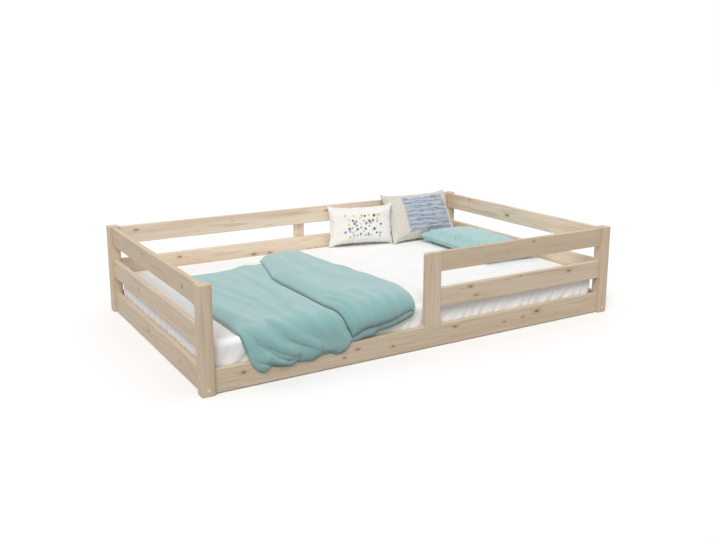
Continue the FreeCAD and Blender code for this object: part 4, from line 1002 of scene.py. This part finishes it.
def seam_puckers(a, b, x, y, seed):
    """Small radiating dents along the seam: sine waves along it, fading over 28 mm inwards."""
    dice = np.random.default_rng(seed)
    total = np.zeros(a.shape)
    for along, other, across in ((x, b, y), (y, a, x)):
        depth = (1 - np.abs(other)) * np.abs(across).max()
        waves = sum(np.sin(2 * math.pi * along / step + dice.uniform(0, 6.28))
                    for step in (0.021, 0.034, 0.052))
        total += waves / 3 * np.exp(-depth / (28 * MM)) * smooth(depth, 0, 6 * MM)
    return total


def turned(points, turns):
    """The points after rotations about x or z by degrees, one after another."""
    for axis, angle in turns:
        c, s = math.cos(math.radians(angle)), math.sin(math.radians(angle))
        if axis == "x":
            matrix = np.array([[1, 0, 0], [0, c, -s], [0, s, c]])
        else:
            matrix = np.array([[c, -s, 0], [s, c, 0], [0, 0, 1]])
        points = points @ matrix.T
    return points


def make_cushion(name, cad_node, body, finish, length, height, loft, turns, seed, cap,
                 pinch, shift, pleat, under=1.0, counts=(61, 45), sink=3.0, folds=()):
    """A stuffed cushion: its flat form filled by simulation, creased, then turned to its place and
    pressed flat where it meets the sheet and the back rail."""
    near_side, far_side, *plan = cushion_sides(length * MM, height * MM, loft * MM, pinch,
                                               *counts, under)
    near_side, far_side = filled(near_side, far_side, cap * MM, slack=0.04)
    near_side, far_side, x, y, a, b = (finer(grid) for grid in (near_side, far_side, *plan))
    inner = smooth(np.minimum(1 - np.abs(a), 1 - np.abs(b)), 0.0, 0.25)
    pucker = seam_puckers(a, b, x, y, seed) * pleat * MM
    spread = (-length / 2, -height / 2), (length / 2, height / 2)
    lines = creases(x * 1000, y * 1000, 26, (50, 190), (5, 15), (0.8, 2.4),
                    lambda mx, my: math.atan2(my, mx), 0.6, seed, *spread) * MM * inner
    for line, *shape in folds:
        lines += fold(x * 1000, y * 1000, line, *shape) * MM * inner
    near_side[..., 2] += pucker + lines
    far_side[..., 2] -= pucker
    up = np.array([0.0, 0.0, 1.0])
    # painted shade: each point's depth in a crease darkens the pillowcase's colour; the cushions'
    # finishes do not read it
    hollow = 0.45 * bag_list(painted_crease_shade_of(near_side / MM, up), painted_crease_shade_of(far_side / MM, -up))
    near, far = two_sided(*near_side.shape[:2])
    points = turned(bag_list(near_side, far_side), turns)
    low, high = corners_of(cad_node)
    middle = (points.min(axis=0) + points.max(axis=0)) / 2
    rest = SHEET_TOP + 0.4 * MM
    points[:, 0] += (low[0] + high[0]) / 2 - middle[0] + shift * MM
    points[:, 2] = np.maximum(points[:, 2] + rest - points[:, 2].min() - sink * MM, rest)
    if body == "pillow":
        points[:, 1] += (low[1] + high[1]) / 2 - middle[1]
    else:
        points[:, 1] += high[1] - points[:, 1].max() + sink * MM
        points[:, 1] = np.minimum(points[:, 1], high[1] - 0.2 * MM)
    piece = build(name, points, bag_faces(near, far), finish, body, [cad_node],
                  bag_uv(x, y), hollow)


# ---------------- camera, floor and light

CAMERA_PLACE = (-1.9898, -3.3336, 1.2086)
CAMERA_TURN = 30.87     # degrees from +Y towards +X
CAMERA_DIP = 11.99      # degrees below level
CAMERA_LENS = 41.19     # millimetres on a 36 mm sensor
CAMERA_SHIFT = -0.05    # what is left of the upright lines' correction

camera = placed("camera", bpy.data.cameras.new("camera"))
camera.location = CAMERA_PLACE
camera.rotation_euler = Euler((math.radians(90 - CAMERA_DIP), 0, -math.radians(CAMERA_TURN)))
camera.data.lens, camera.data.sensor_width = CAMERA_LENS, 36.0
camera.data.shift_y = CAMERA_SHIFT
bpy.context.scene.camera = camera


def backdrop_share(put):
    """1 where the camera sees the surface straight, in a reflection or through glass, or else 0."""
    rays = put("LightPath").node.outputs
    seen = put("Math MAXIMUM", rays["Is Camera Ray"], rays["Is Glossy Ray"])
    return put("Math MAXIMUM", seen, rays["Is Transmission Ray"])


def studio():
    """A pale floor, an even white surround and one broad lamp above the front foot corner."""
    reach = 30.0
    mesh = bpy.data.meshes.new("floor")
    mesh.from_pydata([(-reach, -reach, 0), (reach, -reach, 0), (reach, reach, 0),
                      (-reach, reach, 0)], [], [(0, 1, 2, 3)])
    floor = placed("floor", mesh)
    finish, put, dress = new_finish("matt_white_studio_floor", Roughness=0.9,
                                    Specular_IOR_Level=0.1)
    # seen straight or in a reflection it is white; what it throws back on the bed is a mid grey's
    dress(Base_Color=put("Mix", backdrop_share(put), "#969492", "#FFFFFF"))
    mesh.materials.append(finish)

    world = bpy.data.worlds.new("white_surround")
    world.use_nodes = True
    bpy.context.scene.world = world
    put = functools.partial(node, world.node_tree)
    surround = world.node_tree.nodes["Background"].inputs
    join(surround["Color"], (1, 1, 1, 1))
    join(surround["Strength"], put("MapRange LINEAR", backdrop_share(put), 0.0, 1.0, 0.64, 1.0))

    lamp = placed("broad_lamp", bpy.data.lights.new("broad_lamp", "SUN"))
    lamp.data.energy, lamp.data.angle = 1.66, math.radians(26)
    # it shines down at 50 degrees, from the front and the foot end alike
    lamp.rotation_euler = Euler((math.radians(40), 0, math.radians(-40)))


studio()
bpy.context.scene.view_settings.view_transform = "Standard"

make_sheet()
make_mattress()
make_duvet()

make_cushion("cotton_sleeping_pillow", "sleeping_pillow", "pillow",
             washed_cotton("washed_cotton_pillowcase", "#8ABBBA", "#7DAEAD"),
             350, 664, 113, (("z", -3),), 41, 12, 0.045, 11, 5.0, 0.5, (41, 71), 8.0,
             [(((-174, y), (-128, y + 12), (-92, y + 34)), 6, 8, 1.6)
              for y in range(-300, 330, 43)])
make_cushion("large_scatter_cushion", "large_cushion", "large_cushion",
             painted_bands(*speckled("slub_cotton_painted_blue", "#DCD7CE", "#CFC8BD", "#A39C92",
                                     1.8)),
             464, 304, 104, (("x", 60),), 51, 10, 0.05, -4, 3.4)
make_cushion("small_scatter_cushion", "small_cushion", "small_cushion",
             printed_dots(*speckled("slub_cotton_printed_dots", "#F4F2EE", "#ECE9E3", "#CFC9BF",
                                    1.6)),
             388, 234, 90, (("x", 82), ("z", -13)), 61, 10, 0.05, 16, 3.4)
